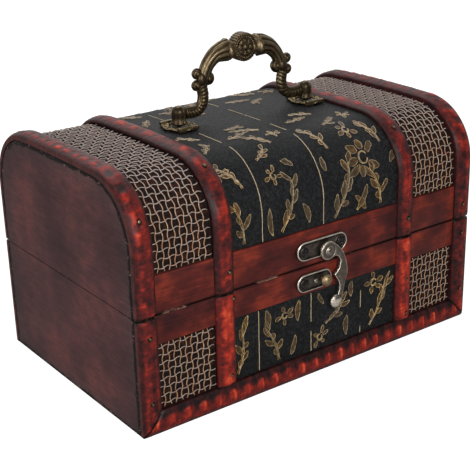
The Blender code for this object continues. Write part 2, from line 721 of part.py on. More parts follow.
def latch():
    """The latch. Returns its pieces that ride with the lid, and its hook."""
    bore = SCREW_SHANK_RADIUS + GAP
    holes = [(x, z, bore) for x, z in (*UPPER_SCREWS, (PIVOT_X, PIVOT_Z))]
    size = (UPPER_PLATE_LENGTH, UPPER_PLATE_HEIGHT)
    pieces = [latch_plate("latch_upper_plate", LATCH_SHIFT, UPPER_PLATE_Z, *size, holes)]
    for name, (x, z) in zip(("left", "right"), UPPER_SCREWS):
        pieces.append(screw("latch_screw_upper_" + name, x, z))
    pieces.append(pivot_rivet())
    places = (LOWER_SCREW, (STUD_X, LOWER_PLATE_Z), (SMALL_PIN_X, LOWER_PLATE_Z))
    holes = [(x, z, bore) for x, z in places]
    size = (LOWER_PLATE_LENGTH, LOWER_PLATE_HEIGHT)
    latch_plate("latch_lower_plate", LOWER_PLATE_X, LOWER_PLATE_Z, *size, holes)
    screw("latch_screw_lower", *LOWER_SCREW)
    catch_stud()
    small_pin()
    return pieces, swing_hook()


def pivot_rivet():
    """The shouldered rivet that holds the hook off the plate and lets it swing."""
    head = HOOK_OUT + GAP
    collar = HOOK_BACK - GAP
    outline = head_outline(RIVET_HEAD_SHARES, RIVET_HEAD_RADIUS, RIVET_HEAD, head)
    outline += [(RIVET_RADIUS, head), (RIVET_RADIUS, collar)]
    outline += [(RIVET_COLLAR_RADIUS, collar), (RIVET_COLLAR_RADIUS, LATCH_OUT + GAP)]
    return pinned("latch_rivet", PIVOT_X, PIVOT_Z, outline, "latch_metal")


def catch_stud():
    """The mushroom stud on the lower plate. Its head stands out past the hook."""
    head = HOOK_OUT + GAP
    outline = head_outline(STUD_HEAD_SHARES, STUD_RADIUS, STUD_HEAD, head)
    outline += [(STUD_SHANK_RADIUS, head), (STUD_SHANK_RADIUS, LATCH_OUT + GAP)]
    pinned("latch_stud", STUD_X, LOWER_PLATE_Z, outline, "brass")


def small_pin():
    seat = LATCH_OUT + GAP
    outline = head_outline(SMALL_PIN_SHARES, SMALL_PIN_RADIUS, SMALL_PIN_HEAD, seat)
    pinned("latch_small_pin", SMALL_PIN_X, LOWER_PLATE_Z, outline, "latch_metal")


def swing_hook():
    """An eye, a crescent arm with a barb, a narrow neck and a bulb. Its origin is its pivot."""
    outer = [(u * HOOK_REACH, v * HOOK_REACH) for u, v in HOOK_OUTER_SHARES]
    inner = [(u * HOOK_REACH, v * HOOK_REACH) for u, v in HOOK_INNER_SHARES]
    span = 2 * math.pi - math.radians(EYE_TO - EYE_FROM)
    turns = [math.radians(EYE_FROM) - span * step / EYE_STEPS for step in range(EYE_STEPS + 1)]
    eye = [(EYE_RADIUS * math.cos(turn), EYE_RADIUS * math.sin(turn)) for turn in turns]
    place = (PIVOT_X, -HALF_DEPTH - HOOK_BACK - HOOK_THICKNESS / 2, PIVOT_Z)
    placing = frame(place, (1, 0, 0), (0, 0, 1))
    bore = circle(0, 0, RIVET_RADIUS + GAP)
    outlines = [outer + inner + eye, bore]
    hook = prism("latch_hook", outlines, HOOK_THICKNESS, placing, "latch_metal", True)
    centre = Vector(place) + Vector((BULB_SIDE_SHARE * HOOK_REACH, 0, -HOOK_REACH))
    sizes = (BULB_RADIUS, BULB_THICKNESS / 2, BULB_RADIUS)
    return weld(hook, [ball("bulb", centre, sizes, "latch_metal")])


def handle_plate(name, x):
    """A pierced oval plate with lobes round its edge."""
    outline = []
    half_width, half_depth = HANDLE_PLATE_WIDTH / 2, HANDLE_PLATE_DEPTH / 2
    steps = PLATE_LOBES * PLATE_LOBE_STEPS
    for step in range(steps):
        turn = 2 * math.pi * step / steps
        reach = 1 - PLATE_LOBE_SHARE * (1 - abs(math.cos(PLATE_LOBES * turn / 2)))
        outline.append((reach * half_width * math.cos(turn), reach * half_depth * math.sin(turn)))
    holes = [circle(0, 0, TENON_RADIUS + GAP, ROUND_STEPS // 2)]
    for number in range(PLATE_HOLES):
        turn = 2 * math.pi * (number + 1 / 2) / PLATE_HOLES
        across = PLATE_HOLE_SHARE * half_width * math.cos(turn)
        along = PLATE_HOLE_SHARE * half_depth * math.sin(turn)
        centre = (across, along)
        holes.append(circle(*centre, PLATE_HOLE_RADIUS, ROUND_STEPS // 2))
    placing = frame((x, 0, HANDLE_PLATE_Z + HANDLE_PLATE / 2), (1, 0, 0), (0, 1, 0))
    return prism(name, [outline, *holes], HANDLE_PLATE, placing, "handle_bronze", True)


def handle_post(name, side):
    """A domed post with a tenon through its plate, bored from inside for the bail's pin."""
    x = HANDLE_SHIFT + side * HALF_SPACING
    dome = POST_HEIGHT - POST_RADIUS
    arc = [math.pi / 2 * (1 - step / DOME_STEPS) for step in range(DOME_STEPS + 1)]
    outline = [(POST_RADIUS * math.cos(turn), dome + POST_RADIUS * math.sin(turn)) for turn in arc]
    outline[0] = (0, POST_HEIGHT)
    foot = CROWN_HEIGHT + GAP - POST_Z
    outline += [(POST_RADIUS, 0), (TENON_RADIUS, 0), (TENON_RADIUS, foot), (0, foot)]
    post = turned(name, outline, (x, 0, POST_Z), (0, 0, 1), "handle_bronze")
    deep = x + side * (BAIL_PIN_PAST_CENTRE + GAP)
    mouth = x - side * (POST_RADIUS + OVERRUN)
    ends = [(mouth, 0, BAIL_AXIS_Z), (deep, 0, BAIL_AXIS_Z)]
    cut(post, rod(name + "_bore", *ends, BAIL_PIN_RADIUS + GAP, "handle_bronze"))
    return post


def smooth_path(points, steps):
    """More points along a smooth curve through the given ones."""
    padded = [points[0], *points, points[-1]]
    path = []
    for before, start, end, after in zip(padded, padded[1:], padded[2:], padded[3:]):
        for step in range(steps):
            t = step / steps
            weights = (
                (-t + 2 * t * t - t ** 3) / 2, (2 - 5 * t * t + 3 * t ** 3) / 2,
                (t + 4 * t * t - 3 * t ** 3) / 2, (t ** 3 - t * t) / 2,
            )
            near = (before, start, end, after)
            path.append(tuple(sum(w * p[axis] for w, p in zip(weights, near)) for axis in range(3)))
    return path + [points[-1]]


def tube(name, points):
    """A round tube through points (x, z, radius) from the bail's axis, flattened in depth."""
    curve = bpy.data.curves.new(name, "CURVE")
    curve.dimensions = "3D"
    curve.bevel_depth = LEG_RADIUS
    curve.bevel_resolution = TUBE_RESOLUTION
    curve.use_fill_caps = True
    spline = curve.splines.new("POLY")
    spline.points.add(len(points) - 1)
    for point, (x, z, radius) in zip(spline.points, points):
        point.co = (x, 0, z, 1)
        point.radius = radius / LEG_RADIUS
    part = from_curve(name, curve, "handle_bronze", Matrix(), True)
    part.data.transform(Matrix.Diagonal((1, BAIL_DEPTH_SHARE, 1, 1)))
    part.matrix_world = Matrix.Translation((HANDLE_SHIFT, 0, BAIL_AXIS_Z))
    return part


def bail():
    """The carrying bail: pins, legs, scrolls, arms, collars and the rosette, in one casting."""
    middle = Vector((HANDLE_SHIFT, 0, BAIL_AXIS_Z))
    pieces = []
    for side in (LEFT, RIGHT):
        leg = [(side * (HALF_SPACING - POST_RADIUS - GAP), 0, LEG_RADIUS)]
        leg += [(side * u * HALF_SPACING, v * BAIL_RISE, LEG_RADIUS) for u, v in LEG_PATH_SHARES]
        pieces.append(tube("leg", smooth_path(leg, PATH_STEPS)))
        arm = []
        for u, v, grown in ARM_PATH_SHARES:
            radius = ARM_RADIUS + (FLARE_RADIUS - ARM_RADIUS) * grown
            arm.append((side * (ARM_START + u * ARM_REACH), v * BAIL_RISE, radius))
        pieces.append(tube("arm", smooth_path(arm, PATH_STEPS)))
        end = middle + Vector((leg[-1][0], 0, leg[-1][1]))
        for u, v, share in SCROLL_PLACE_SHARES:
            radius = SCROLL_RADIUS * share
            sizes = (radius, radius, radius)
            centre = end + Vector((side * u * SCROLL_RADIUS, 0, v * SCROLL_RADIUS))
            pieces.append(ball("scroll", centre, sizes, "handle_bronze"))
        near, far = ROSETTE_RADIUS - COLLAR_LENGTH / 2, ROSETTE_RADIUS + COLLAR_LENGTH
        ends = [middle + Vector((side * x, 0, BAIL_RISE)) for x in (near, far)]
        collar = rod("collar", *ends, COLLAR_RADIUS, "handle_bronze")
        collar.data.transform(Matrix.Diagonal((1, BAIL_DEPTH_SHARE, 1, 1)))
        pieces.append(collar)
        near, far = HALF_SPACING - 2 * POST_RADIUS, HALF_SPACING + BAIL_PIN_PAST_CENTRE
        ends = [middle + Vector((side * x, 0, 0)) for x in (near, far)]
        pieces.append(rod("pin", *ends, BAIL_PIN_RADIUS, "handle_bronze", ROUND_STEPS // 2))
    outline = [(u * ROSETTE_RADIUS, v * ROSETTE_THICKNESS / 2) for u, v in ROSETTE_OUTLINE_SHARES]
    centre = middle + Vector((0, 0, BAIL_RISE))
    handle = turned("handle_bail", outline, centre, (0, -1, 0), "handle_bronze")
    weld(handle, pieces)
    handle.data.transform(Matrix.Translation(middle).inverted() @ handle.matrix_world)
    handle.matrix_world = Matrix.Translation(middle)
    return handle


def handle():
    """Plates, posts and the bail."""
    pieces = []
    for side in (LEFT, RIGHT):
        x = HANDLE_SHIFT + side * HALF_SPACING
        pieces.append(handle_plate("handle_plate_" + SIDE_NAMES[side], x))
        pieces.append(handle_post("handle_post_" + SIDE_NAMES[side], side))
    return pieces, bail()


clear_scene()
MATERIALS = {name: make_finish(name) for name in FINISHES}
PARTS = new_collection(OBJECT_NAME)
CUTTERS = new_collection("cutters")

body_boards()
body_coverings()
body_trims()
lid_pieces = lid_boards() + lid_coverings() + lid_trims() + hinges()
latch_pieces, hook = latch()
handle_pieces, handle_bail = handle()
lid_axis = axis_empty("lid_axis", (0, HALF_DEPTH + HINGE_AXIS_OUT, SEAM_HEIGHT))
ride_with(lid_pieces + latch_pieces + handle_pieces + [hook, handle_bail], lid_axis)
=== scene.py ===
"""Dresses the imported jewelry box: camera, light, materials and the detailed pieces."""

import json
from math import asin, pi, radians, sqrt

import bmesh
import bpy
import numpy as np
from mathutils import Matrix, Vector
from numpy import cos, exp, sin

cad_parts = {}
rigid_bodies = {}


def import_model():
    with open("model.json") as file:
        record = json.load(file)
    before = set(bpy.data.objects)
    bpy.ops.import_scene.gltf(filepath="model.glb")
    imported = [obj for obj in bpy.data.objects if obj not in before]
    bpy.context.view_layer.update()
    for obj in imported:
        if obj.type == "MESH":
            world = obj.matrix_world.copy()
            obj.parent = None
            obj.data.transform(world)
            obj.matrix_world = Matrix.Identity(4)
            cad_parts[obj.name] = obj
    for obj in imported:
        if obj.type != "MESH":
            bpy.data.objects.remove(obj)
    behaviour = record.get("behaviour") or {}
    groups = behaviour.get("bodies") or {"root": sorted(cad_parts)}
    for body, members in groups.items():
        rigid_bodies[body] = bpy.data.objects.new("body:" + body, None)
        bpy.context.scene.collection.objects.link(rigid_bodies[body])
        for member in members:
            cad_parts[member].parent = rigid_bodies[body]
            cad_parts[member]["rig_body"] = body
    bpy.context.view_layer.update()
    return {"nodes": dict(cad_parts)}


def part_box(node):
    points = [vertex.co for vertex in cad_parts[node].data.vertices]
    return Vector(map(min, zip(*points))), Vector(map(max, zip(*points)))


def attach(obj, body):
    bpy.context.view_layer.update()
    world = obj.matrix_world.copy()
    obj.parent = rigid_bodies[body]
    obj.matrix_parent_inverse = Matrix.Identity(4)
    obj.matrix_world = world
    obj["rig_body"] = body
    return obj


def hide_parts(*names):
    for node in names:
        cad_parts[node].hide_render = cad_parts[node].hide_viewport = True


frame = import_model()

MM = 0.001
SIDES = ((-1, "left"), (1, "right"))
WALLS = ((-1, "front"), (1, "back"))

# Camera fitted to the photograph
CAMERA_PLACE = (-0.34726, -0.47968, 0.28908)
CAMERA_TURN = (68.379, 0.721, -37.966)
CAMERA_LENS = 84.79
CAMERA_SENSOR = 36
CAMERA_SHIFT = (-0.08225, 0.01271)
CAMERA_NEAR = 0.01

# Lamps by name, place, target, size and power
LAMPS = (
    ("key", (-0.22, -0.80, 0.42), (-0.02, 0, 0.07), 0.35, 5.4),
    ("fill", (-1.3, -0.25, 0.40), (0, 0, 0.07), 0.6, 6.0),
    ("top", (0.1, 0.45, 1.1), (0, 0, 0.08), 0.8, 5),
)

# Strength of the room on plain surfaces, and on gloss from the front, from behind and from the left
AMBIENT = 0.3
GLOSS_FRONT = 0.06
GLOSS_BACK = 1.0
GLOSS_LEFT = 0.9
BEHIND = (0.5, 0.72, 0.48)
LEFT = (-0.93, -0.25, 0.25)
FLOOR_GLOW = 0.8
FLOOR_REACH = 6
FLOOR_DROP = 0.0002

# The boards' outline, as in the CAD
HALF_LENGTH = 0.1125
HALF_DEPTH = 0.067
SEAM = 0.0635
CROWN = 0.1277
CORNER_RADIUS = 0.030
CROWN_RADIUS = 1.2
END_BOARD = 0.006
CORNER_Y = HALF_DEPTH - CORNER_RADIUS
CROWN_CENTRE = CROWN - CROWN_RADIUS
CORNER_Z = CROWN_CENTRE + sqrt((CROWN_RADIUS - CORNER_RADIUS) ** 2 - CORNER_Y**2)
CROWN_TURN = asin(CORNER_Y / (CROWN_RADIUS - CORNER_RADIUS))
CORNER_TURN = pi / 2 - CROWN_TURN
UPRIGHT = CORNER_Z - SEAM
OVER = 2 * (UPRIGHT + CORNER_RADIUS * CORNER_TURN + CROWN_RADIUS * CROWN_TURN)

# Places along the boards, measured from the seam, and heights off the boards
LID_BAND_TOP = (CORNER_Z - SEAM) * 0.6
BODY_BAND_BOTTOM = -0.0156
BOTTOM_TRIM = 0.0122
END_TRIM = 0.0113
STRAP_WIDTH = 0.0113
STRAP_CENTRE = 0.0615
STRAP_SEAT = 0.0016
GAP = 0.0003
TRIM_SEAM = 0.0006
PROUD = 0.0049
COVER = 0.0012
COVER_SEAT = 0.0002
LEATHER_HALF = STRAP_CENTRE + 0.0002 - 2 * GAP
CLOTH_SEAT = 0.00005
CLOTH_TOP = 0.00035
SHEET_STEP = 0.0015
BAND_BEVEL = 0.0003

# Carved trims
TRIM_STEPS = 22
TOOTH_PITCH = 0.0091
STRAP_PITCH = 0.0122
ARCH_PITCH = 0.0086
TRIM_WIDTH = 0.011
TRIM_STEP = 0.0006
CARVING = 0.36
SHADED_WORN_END = 0.0012
END_DROP = 0.0005

# Woven sheets
CORD_PITCH = 0.00338
ROW_PITCH = 0.00444
CORD_MARGIN = 0.0028
CORD_RADIUS = 0.00026
CORD_SWAY = 0.00042
ROW_SWAY = 0.00045
CORD_LIFT = 0.0003
CORD_HEIGHT = 0.0008
CORD_WOBBLE = 0.00012
CORD_START = 0.0001
CORD_SIDES = 6


# Materials

def paint(red, green, blue):
    """A colour given as it looks on a screen."""
    shares = [part / 255 for part in (red, green, blue)]
    return (*[((c + 0.055) / 1.055) ** 2.4 if c > 10 / 255 else c / 12.92 for c in shares], 1)


class Nodes:
    """Short calls that add nodes to a tree. Inputs are values or other nodes' outputs."""

    def __init__(self, tree):
        self.nodes, self.links = tree.nodes, tree.links

    def add(self, kind, inputs=None, **settings):
        node = self.nodes.new("ShaderNode" + kind)
        for key, value in settings.items():
            setattr(node, key, value)
        for key, value in (inputs or {}).items():
            if isinstance(value, bpy.types.NodeSocket):
                self.links.new(value, node.inputs[key])
            else:
                node.inputs[key].default_value = value
        return node

    def math(self, kind, *values):
        return self.add("Math", dict(enumerate(values)), operation=kind).outputs[0]

    def times(self, first, second, *plus):
        return self.math("MULTIPLY_ADD" if plus else "MULTIPLY", first, second, *plus)

    def levels(self, value, low, high, to_low=0, to_high=1):
        return self.add("MapRange", dict(enumerate((value, low, high, to_low, to_high)))).outputs[0]


class Finish(Nodes):
    """A node material, whose colours are given as screen red, green and blue."""

    def __init__(self, name, **settings):
        self.material = bpy.data.materials.new(name)
        self.material.use_nodes = True
        super().__init__(self.material.node_tree)
        self.shader = self.nodes["Principled BSDF"]
        for socket, value in settings.items():
            self.shader.inputs[socket.replace("_", " ")].default_value = value
        self.place = self.add("TexCoord").outputs["Object"]

    def attribute(self, name, output="Vector"):
        return self.add("Attribute", attribute_name=name).outputs[output]

    def marks(self):
        return self.add("SeparateColor", {0: self.attribute("mark", "Color")}).outputs

    def split(self, vector):
        return self.add("SeparateXYZ", {0: vector}).outputs

    def stretched(self, stretch, source=None):
        return self.add("Mapping", {0: source or self.place, "Scale": stretch}).outputs[0]

    def noise(self, scale, detail=3, rough=0.5, stretch=(1, 1, 1), source=None):
        vector = self.stretched(stretch, source)
        inputs = {"Vector": vector, "Scale": scale, "Detail": detail, "Roughness": rough}
        return self.add("TexNoise", inputs).outputs[0]

    def cells(self, scale, feature):
        inputs = {"Vector": self.stretched((1, 1, 1)), "Scale": scale}
        return self.add("TexVoronoi", inputs, feature=feature).outputs[0]

    def ramp(self, value, *stops):
        """Colours between stops, each a place from 0 to 1 and a colour."""
        node = self.add("ValToRGB", {0: value})
        elements = node.color_ramp.elements
        while len(elements) < len(stops):
            elements.new(0.5)
        for element, (position, *colour) in zip(elements, stops):
            element.position = position
            element.color = paint(*colour)
        return node.outputs[0]

    def mix(self, factor, *colours):
        first, second = [c if isinstance(c, bpy.types.NodeSocket) else paint(*c) for c in colours]
        return self.add("Mix", {0: factor, 6: first, 7: second}, data_type="RGBA").outputs[2]

    def done(self, colour, *bumps, rough=None):
        """Wires the shader; each bump is a height, its strength and its depth in metres."""
        self.links.new(colour, self.shader.inputs["Base Color"])
        if rough:
            self.links.new(rough, self.shader.inputs["Roughness"])
        below = {}
        for height, strength, depth in bumps:
            inputs = {"Strength": strength, "Distance": depth, "Height": height, **below}
            below = {"Normal": self.add("Bump", inputs).outputs[0]}
        if bumps:
            self.links.new(below["Normal"], self.shader.inputs["Normal"])
        return self.material


def trim_finish():
    """Red varnish over dark stain, painted bright where the carving stands up and darker in painted shade,
    black on the end faces, with painted shade at the cut ends.
    """
    f = Finish("carved_trim", Specular_IOR_Level=0.15)
    relief, dark, worn = f.marks()
    path = f.attribute("path")
    patches = f.noise(230, 4, 0.65, (1, 1.5, 1), path)
    streaks = f.noise(700, 4, 0.7, (1, 0.3, 1), path)
    fine = f.noise(2400, 2, 0.6)
    # The relief mark carries the carving's pattern together with painted highlights and painted shade.
    level = f.times(relief, 0.9, f.times(patches, 0.7, -0.37))
    level = f.times(streaks, 0.65, f.math("SUBTRACT", level, 0.32))
    red = f.ramp(
        level, (0, 26, 15, 15), (0.2, 52, 21, 21), (0.45, 96, 28, 24), (0.72, 154, 43, 29),
        (1, 208, 88, 54),
    )
    black = f.ramp(patches, (0.34, 30, 17, 16), (0.66, 86, 37, 34))
    colour = f.mix(f.levels(dark, 0.25, 0.7), red, black)
    # The worn mark darkens the cut ends with painted shade and marks pale wear chips there.
    colour = f.mix(f.levels(worn, 0.3, 0.9), colour, (16, 11, 10))
    chips = f.levels(f.times(worn, f.noise(900, 3, 0.7)), 0.56, 0.64)
    colour = f.mix(chips, colour, (140, 104, 88))
    rough = f.levels(streaks, 0.3, 0.7, 0.34, 0.52)
    return f.done(colour, (patches, 0.3, 0.001), (streaks, 0.35, 0.0004), (fine, 0.12, 0.0001), rough=rough)


def band_finish():
    """Smooth varnished red-brown wood with faint level grain, painted shade along the seam and pale worn
    edges there.
    """
    f = Finish("band_wood", Specular_IOR_Level=0.12)
    lines = f.noise(900, 5, 0.6, (0.06, 1, 1))
    clouds = f.noise(75, 4, 0.6, (0.6, 1, 0.8))
    fine = f.noise(3000, 2, 0.5, (0.15, 1, 1))
    tone = f.times(lines, 0.24, f.times(clouds, 0.76))
    colour = f.ramp(tone, (0.36, 48, 20, 20), (0.5, 80, 30, 25), (0.62, 124, 46, 31))
    x, y, height = f.split(f.place)
    edge = f.levels(f.math("ABSOLUTE", f.math("SUBTRACT", height, SEAM)), 0.0005, 0.0014, 1, 0)
    places = f.math("SINE", f.times(x, 111.2, 5.35))
    worn = f.times(f.levels(places, 0.3, 0.8, 0, 0.54), f.levels(x, -0.005, 0.01, 1, 0.75))
    chips = f.levels(f.times(f.noise(520, 4, 0.75, (1, 1, 2)), edge, worn), 0.98, 1.08)
    # Painted shade darkens the wood along the seam.
    colour = f.mix(f.times(edge, 0.75), colour, (20, 12, 11))
    colour = f.mix(f.times(chips, edge), colour, (146, 108, 92))
    rough = f.levels(lines, 0.3, 0.7, 0.36, 0.5)
    return f.done(colour, (lines, 0.25, 0.0004), (fine, 0.08, 0.0001), rough=rough)


def end_finish():
    """Dark red-brown stained board: level grain, soft smears, pale specks and a dark line at its rim."""
    f = Finish("end_board", Specular_IOR_Level=0.12)
    lines = f.noise(1100, 4, 0.7, (1, 0.07, 1))
    smears = f.noise(170, 4, 0.7, (1, 0.7, 1))
    speckle = f.noise(1500, 3, 0.7)
    edge, joint, _ = f.marks()
    tone = f.times(lines, 0.24, f.times(f.noise(20, 2, 0.5), 0.5, -0.13))
    tone = f.times(smears, 0.2, f.times(speckle, 0.28, tone))
    red = f.ramp(tone, (0.34, 46, 29, 31), (0.5, 76, 47, 48), (0.64, 116, 66, 62))
    grey = f.ramp(tone, (0.35, 44, 37, 37), (0.65, 84, 72, 72))
    colour = f.mix(f.levels(edge, 0, 1, 0, 0.45), red, grey)
    colour = f.mix(f.levels(f.cells(260, "F1"), 0, 0.07, 0.5, 0), colour, (128, 112, 108))
    width = f.times(f.noise(75, 2, 0.5), 1.2, -1.6)
    ragged = f.times(f.noise(420, 4, 0.7), 1.4, f.math("ADD", joint, width))
    colour = f.mix(f.levels(ragged, 0, 0.35), colour, (16, 12, 12))
    flakes = f.times(f.levels(edge, 0.8, 1), f.noise(700, 3, 0.7, (1, 0.5, 1)))
    colour = f.mix(f.levels(flakes, 0.6, 0.68), colour, (150, 122, 112))
    rough = f.levels(speckle, 0.3, 0.7, 0.45, 0.62)
    return f.done(colour, (lines, 0.3, 0.0003), (speckle, 0.25, 0.0002), rough=rough)


def cord_finish():
    """Twisted paper cord: cream when standing, greyer when crossing, rusty in patches, and paler on the
    crown as a painted sheen.
    """
    f = Finish("woven_cord", Roughness=0.45, Specular_IOR_Level=0.6)
    crossing = f.marks()[0]
    twist = f.noise(2600, 3, 0.6, (1, 0.3, 1), f.attribute("path"))
    cream = f.ramp(twist, (0.3, 122, 90, 66), (0.55, 170, 138, 108), (0.8, 208, 182, 154))
    grey = f.ramp(twist, (0.3, 112, 99, 90), (0.55, 162, 149, 139), (0.8, 202, 191, 182))
    rust = f.levels(f.noise(260, 3, 0.6), 0.48, 0.7, 0, 0.65)
    colour = f.mix(rust, f.mix(crossing, cream, grey), (160, 98, 60))
    # Painted sheen: the cords turn paler and greyer towards the crown.
    crown = f.levels(f.split(f.place)[2], 0.108, 0.126, 0, 0.6)
    colour = f.mix(crown, colour, f.ramp(twist, (0.3, 128, 118, 116), (0.7, 190, 178, 174)))
    return f.done(colour, (twist, 0.5, 0.0002))


def backing_finish():
    """Black cloth with rusty patches, seen between the cords."""
    f = Finish("weave_backing", Roughness=0.85, Specular_IOR_Level=0.1)
    threads = f.noise(1800, 3, 0.6)
    black = f.ramp(threads, (0.3, 10, 8, 8), (0.7, 30, 23, 22))
    rust = f.levels(f.noise(420, 3, 0.6), 0.46, 0.68, 0, 0.75)
    return f.done(f.mix(rust, black, (62, 32, 20)), (threads, 0.4, 0.0002))


def leather_finish():
    """Black pebbled leather with a soft blue-grey sheen."""
    f = Finish("black_leather", Specular_IOR_Level=0.11)
    pebbles = f.cells(1100, "SMOOTH_F1")
    creases = f.noise(700, 4, 0.6)
    tone = f.times(creases, 0.8, f.times(f.noise(35, 3, 0.5), 0.2))
    colour = f.ramp(tone, (0.34, 12, 12, 12), (0.5, 22, 23, 24), (0.64, 38, 38, 40))
    rough = f.levels(pebbles, 0, 0.7, 0.42, 0.62)
    return f.done(colour, (creases, 0.3, 0.0005), (pebbles, 0.6, 0.0004), rough=rough)


def gold_finish():
    """Raised gilt line work: painted highlights on the rims and a darker burnt fill, duller in places, and
    paler on the crown as a painted reflection.
    """
    f = Finish("gilt_pattern", Metallic=0.15, Specular_IOR_Level=0.3)
    rim, ruled, _ = f.marks()
    patches = f.noise(500, 4, 0.6)
    dull = f.levels(f.noise(38, 2, 0.5), 0.42, 0.6)
    # Painted reflection: the lines turn paler towards the crown.
    crown = f.levels(f.split(f.place)[2], 0.112, 0.128, 0, 0.7)
    fill = f.ramp(patches, (0.3, 40, 27, 11), (0.55, 82, 57, 24), (0.75, 120, 88, 42))
    grey_fill = f.ramp(patches, (0.3, 42, 32, 20), (0.7, 84, 68, 46))
    line = f.ramp(patches, (0.3, 104, 80, 44), (0.52, 164, 136, 88), (0.7, 216, 194, 148))
    grey_line = f.ramp(patches, (0.3, 84, 70, 50), (0.65, 154, 136, 106))
    line = f.mix(crown, f.mix(dull, line, grey_line), (170, 156, 138))
    line = f.mix(f.times(ruled, 0.6), line, (196, 180, 150))
    colour = f.mix(rim, f.mix(dull, fill, grey_fill), line)
    rough = f.levels(patches, 0.3, 0.7, 0.42, 0.6)
    return f.done(colour, (f.noise(1600, 3, 0.6), 0.4, 0.0002), rough=rough)


def lining_finish():
    """Deep red flock cloth."""
    f = Finish(
        "flock_lining", Roughness=0.95, Specular_IOR_Level=0.1, Sheen_Weight=0.08, Sheen_Roughness=0.6,
    )
    pile = f.noise(2600, 3, 0.7)
    tone = f.times(pile, 0.5, f.times(f.noise(45, 3, 0.5, (1, 0.5, 1)), 0.5))
    colour = f.ramp(tone, (0.3, 62, 12, 18), (0.55, 96, 20, 28), (0.75, 120, 32, 38))
    return f.done(colour, (pile, 0.6, 0.0004))


def board_finish():
    """Plain sawn wood of the hidden boards."""
    f = Finish("inner_wood", Roughness=0.6)
    lines = f.noise(500, 5, 0.6, (0.05, 1, 1))
    colour = f.ramp(lines, (0.3, 30, 16, 14), (0.55, 46, 24, 20), (0.75, 60, 32, 26))
    return f.done(colour, (lines, 0.3, 0.0004))


def metal_finish(name, low, middle, high, rough):
    """Aged metal: dark in the recesses, worn bright on what stands out."""
    f = Finish(name, Metallic=0.9)
    patches = f.noise(420, 4, 0.6)
    pits = f.noise(2200, 3, 0.6)
    tone = f.times(f.marks()[0], 0.8, f.times(patches, 0.5, -0.22))
    colour = f.ramp(tone, (0.08, *low), (0.42, *middle), (0.85, *high))
    pitted = f.levels(pits, 0.3, 0.7, rough - 0.08, rough + 0.12)
    return f.done(colour, (patches, 0.15, 0.0004), (pits, 0.25, 0.0002), rough=pitted)


# Each finish with a slot name from the record, which the pieces here don't use
TRIM = (trim_finish(), "trim")
BAND = (band_finish(), "band_wood")
END = (end_finish(), "end_board")
CORD = (cord_finish(), "weave")
BACKING = (backing_finish(), "weave")
LEATHER = (leather_finish(), "leather")
GOLD = (gold_finish(), "brass")
LINING = (lining_finish(), "lining")
BOARD = board_finish()
BRONZE = (metal_finish("antique_bronze", (25, 20, 14), (78, 65, 46), (158, 141, 108), 0.36), "handle_bronze")
NAIL = (BRONZE[0], "latch_metal")
STEEL = (metal_finish("aged_steel", (32, 29, 27), (104, 95, 86), (232, 222, 206), 0.34), "latch_metal")
DARK_STEEL = (metal_finish("dark_steel", (20, 19, 18), (38, 36, 34), (120, 114, 106), 0.36), "latch_metal")
BRASS = (metal_finish("aged_brass", (54, 43, 30), (132, 111, 82), (200, 180, 146), 0.42), "brass")


# Shapes

def smooth(value, low, high):
    """A soft step from 0 at low to 1 at high."""
    share = np.clip((value - low) / (high - low), 0, 1)
    return share * share * (3 - 2 * share)


def window(value, low, full, fade, high):
    """Rises from 0 at low to 1 at full, and falls from 1 at fade to 0 at high."""
    return smooth(value, low, full) * (1 - smooth(value, fade, high))


def bell(value, middle, width):
    return exp(-(((value - middle) / width) ** 2))


def circle(steps):
    """Angles once round."""
    return np.linspace(0, 2 * pi, steps, endpoint=False)


def stack(*parts):
    return np.stack(np.broadcast_arrays(*[np.asarray(part, float) for part in parts]), -1)


def grain(points, size, seed=0):
    """Smooth random numbers from -1 to 1 over points, about one lump per size."""
    cell = np.asarray(points, float) / size + 11.3 * seed
    base = np.floor(cell).astype(np.int64)
    share = cell - base
    share = share * share * (3 - 2 * share)
    total = 0
    for corner in range(8):
        step = np.array([corner & 1, corner >> 1 & 1, corner >> 2 & 1])
        key = (base + step) * np.array([73856093, 19349663, 83492791])
        key = (key[..., 0] ^ key[..., 1] ^ key[..., 2]) & 0xFFFFF
        key = (key * 48271 + 12345) % 2147483647 % 65536
        weight = np.prod(np.where(step, share, 1 - share), axis=-1)
        total = total + weight * (key / 32768 - 1)
    return total


def skin(x, s, h):
    """Points at arc length s over the seam and height h off the boards, from front to back."""
    x, s, h = np.broadcast_arrays(np.asarray(x, float), np.asarray(s, float), np.asarray(h, float))
    back = s > OVER / 2
    along = np.where(back, OVER - s, s)
    corner = np.clip((along - UPRIGHT) / CORNER_RADIUS, 0, CORNER_TURN)
    crown = np.clip((along - UPRIGHT - CORNER_RADIUS * CORNER_TURN) / CROWN_RADIUS, 0, CROWN_TURN)
    turn = corner + crown
    y = -CORNER_Y - CORNER_RADIUS * cos(corner)
    z = CORNER_Z + np.minimum(along - UPRIGHT, 0) + CORNER_RADIUS * sin(corner)
    top = crown > 0
    y = np.where(top, -CROWN_RADIUS * sin(CROWN_TURN - crown), y)
    z = np.where(top, CROWN_CENTRE + CROWN_RADIUS * cos(CROWN_TURN - crown), z)
    y, z = y - h * cos(turn), z + h * sin(turn)
    return np.stack([x, np.where(back, -y, y), z], -1)


def over(s, wall):
    """A place on the front, or the same place on the back."""
    return s if wall < 0 else OVER - s


def sideways(path):
    """Unit vectors square to a path in two coordinates."""
    ahead = np.gradient(path, axis=0)
    ahead /= np.maximum(np.linalg.norm(ahead, axis=1), 1e-9)[:, None]
    return np.stack([-ahead[:, 1], ahead[:, 0]], -1)


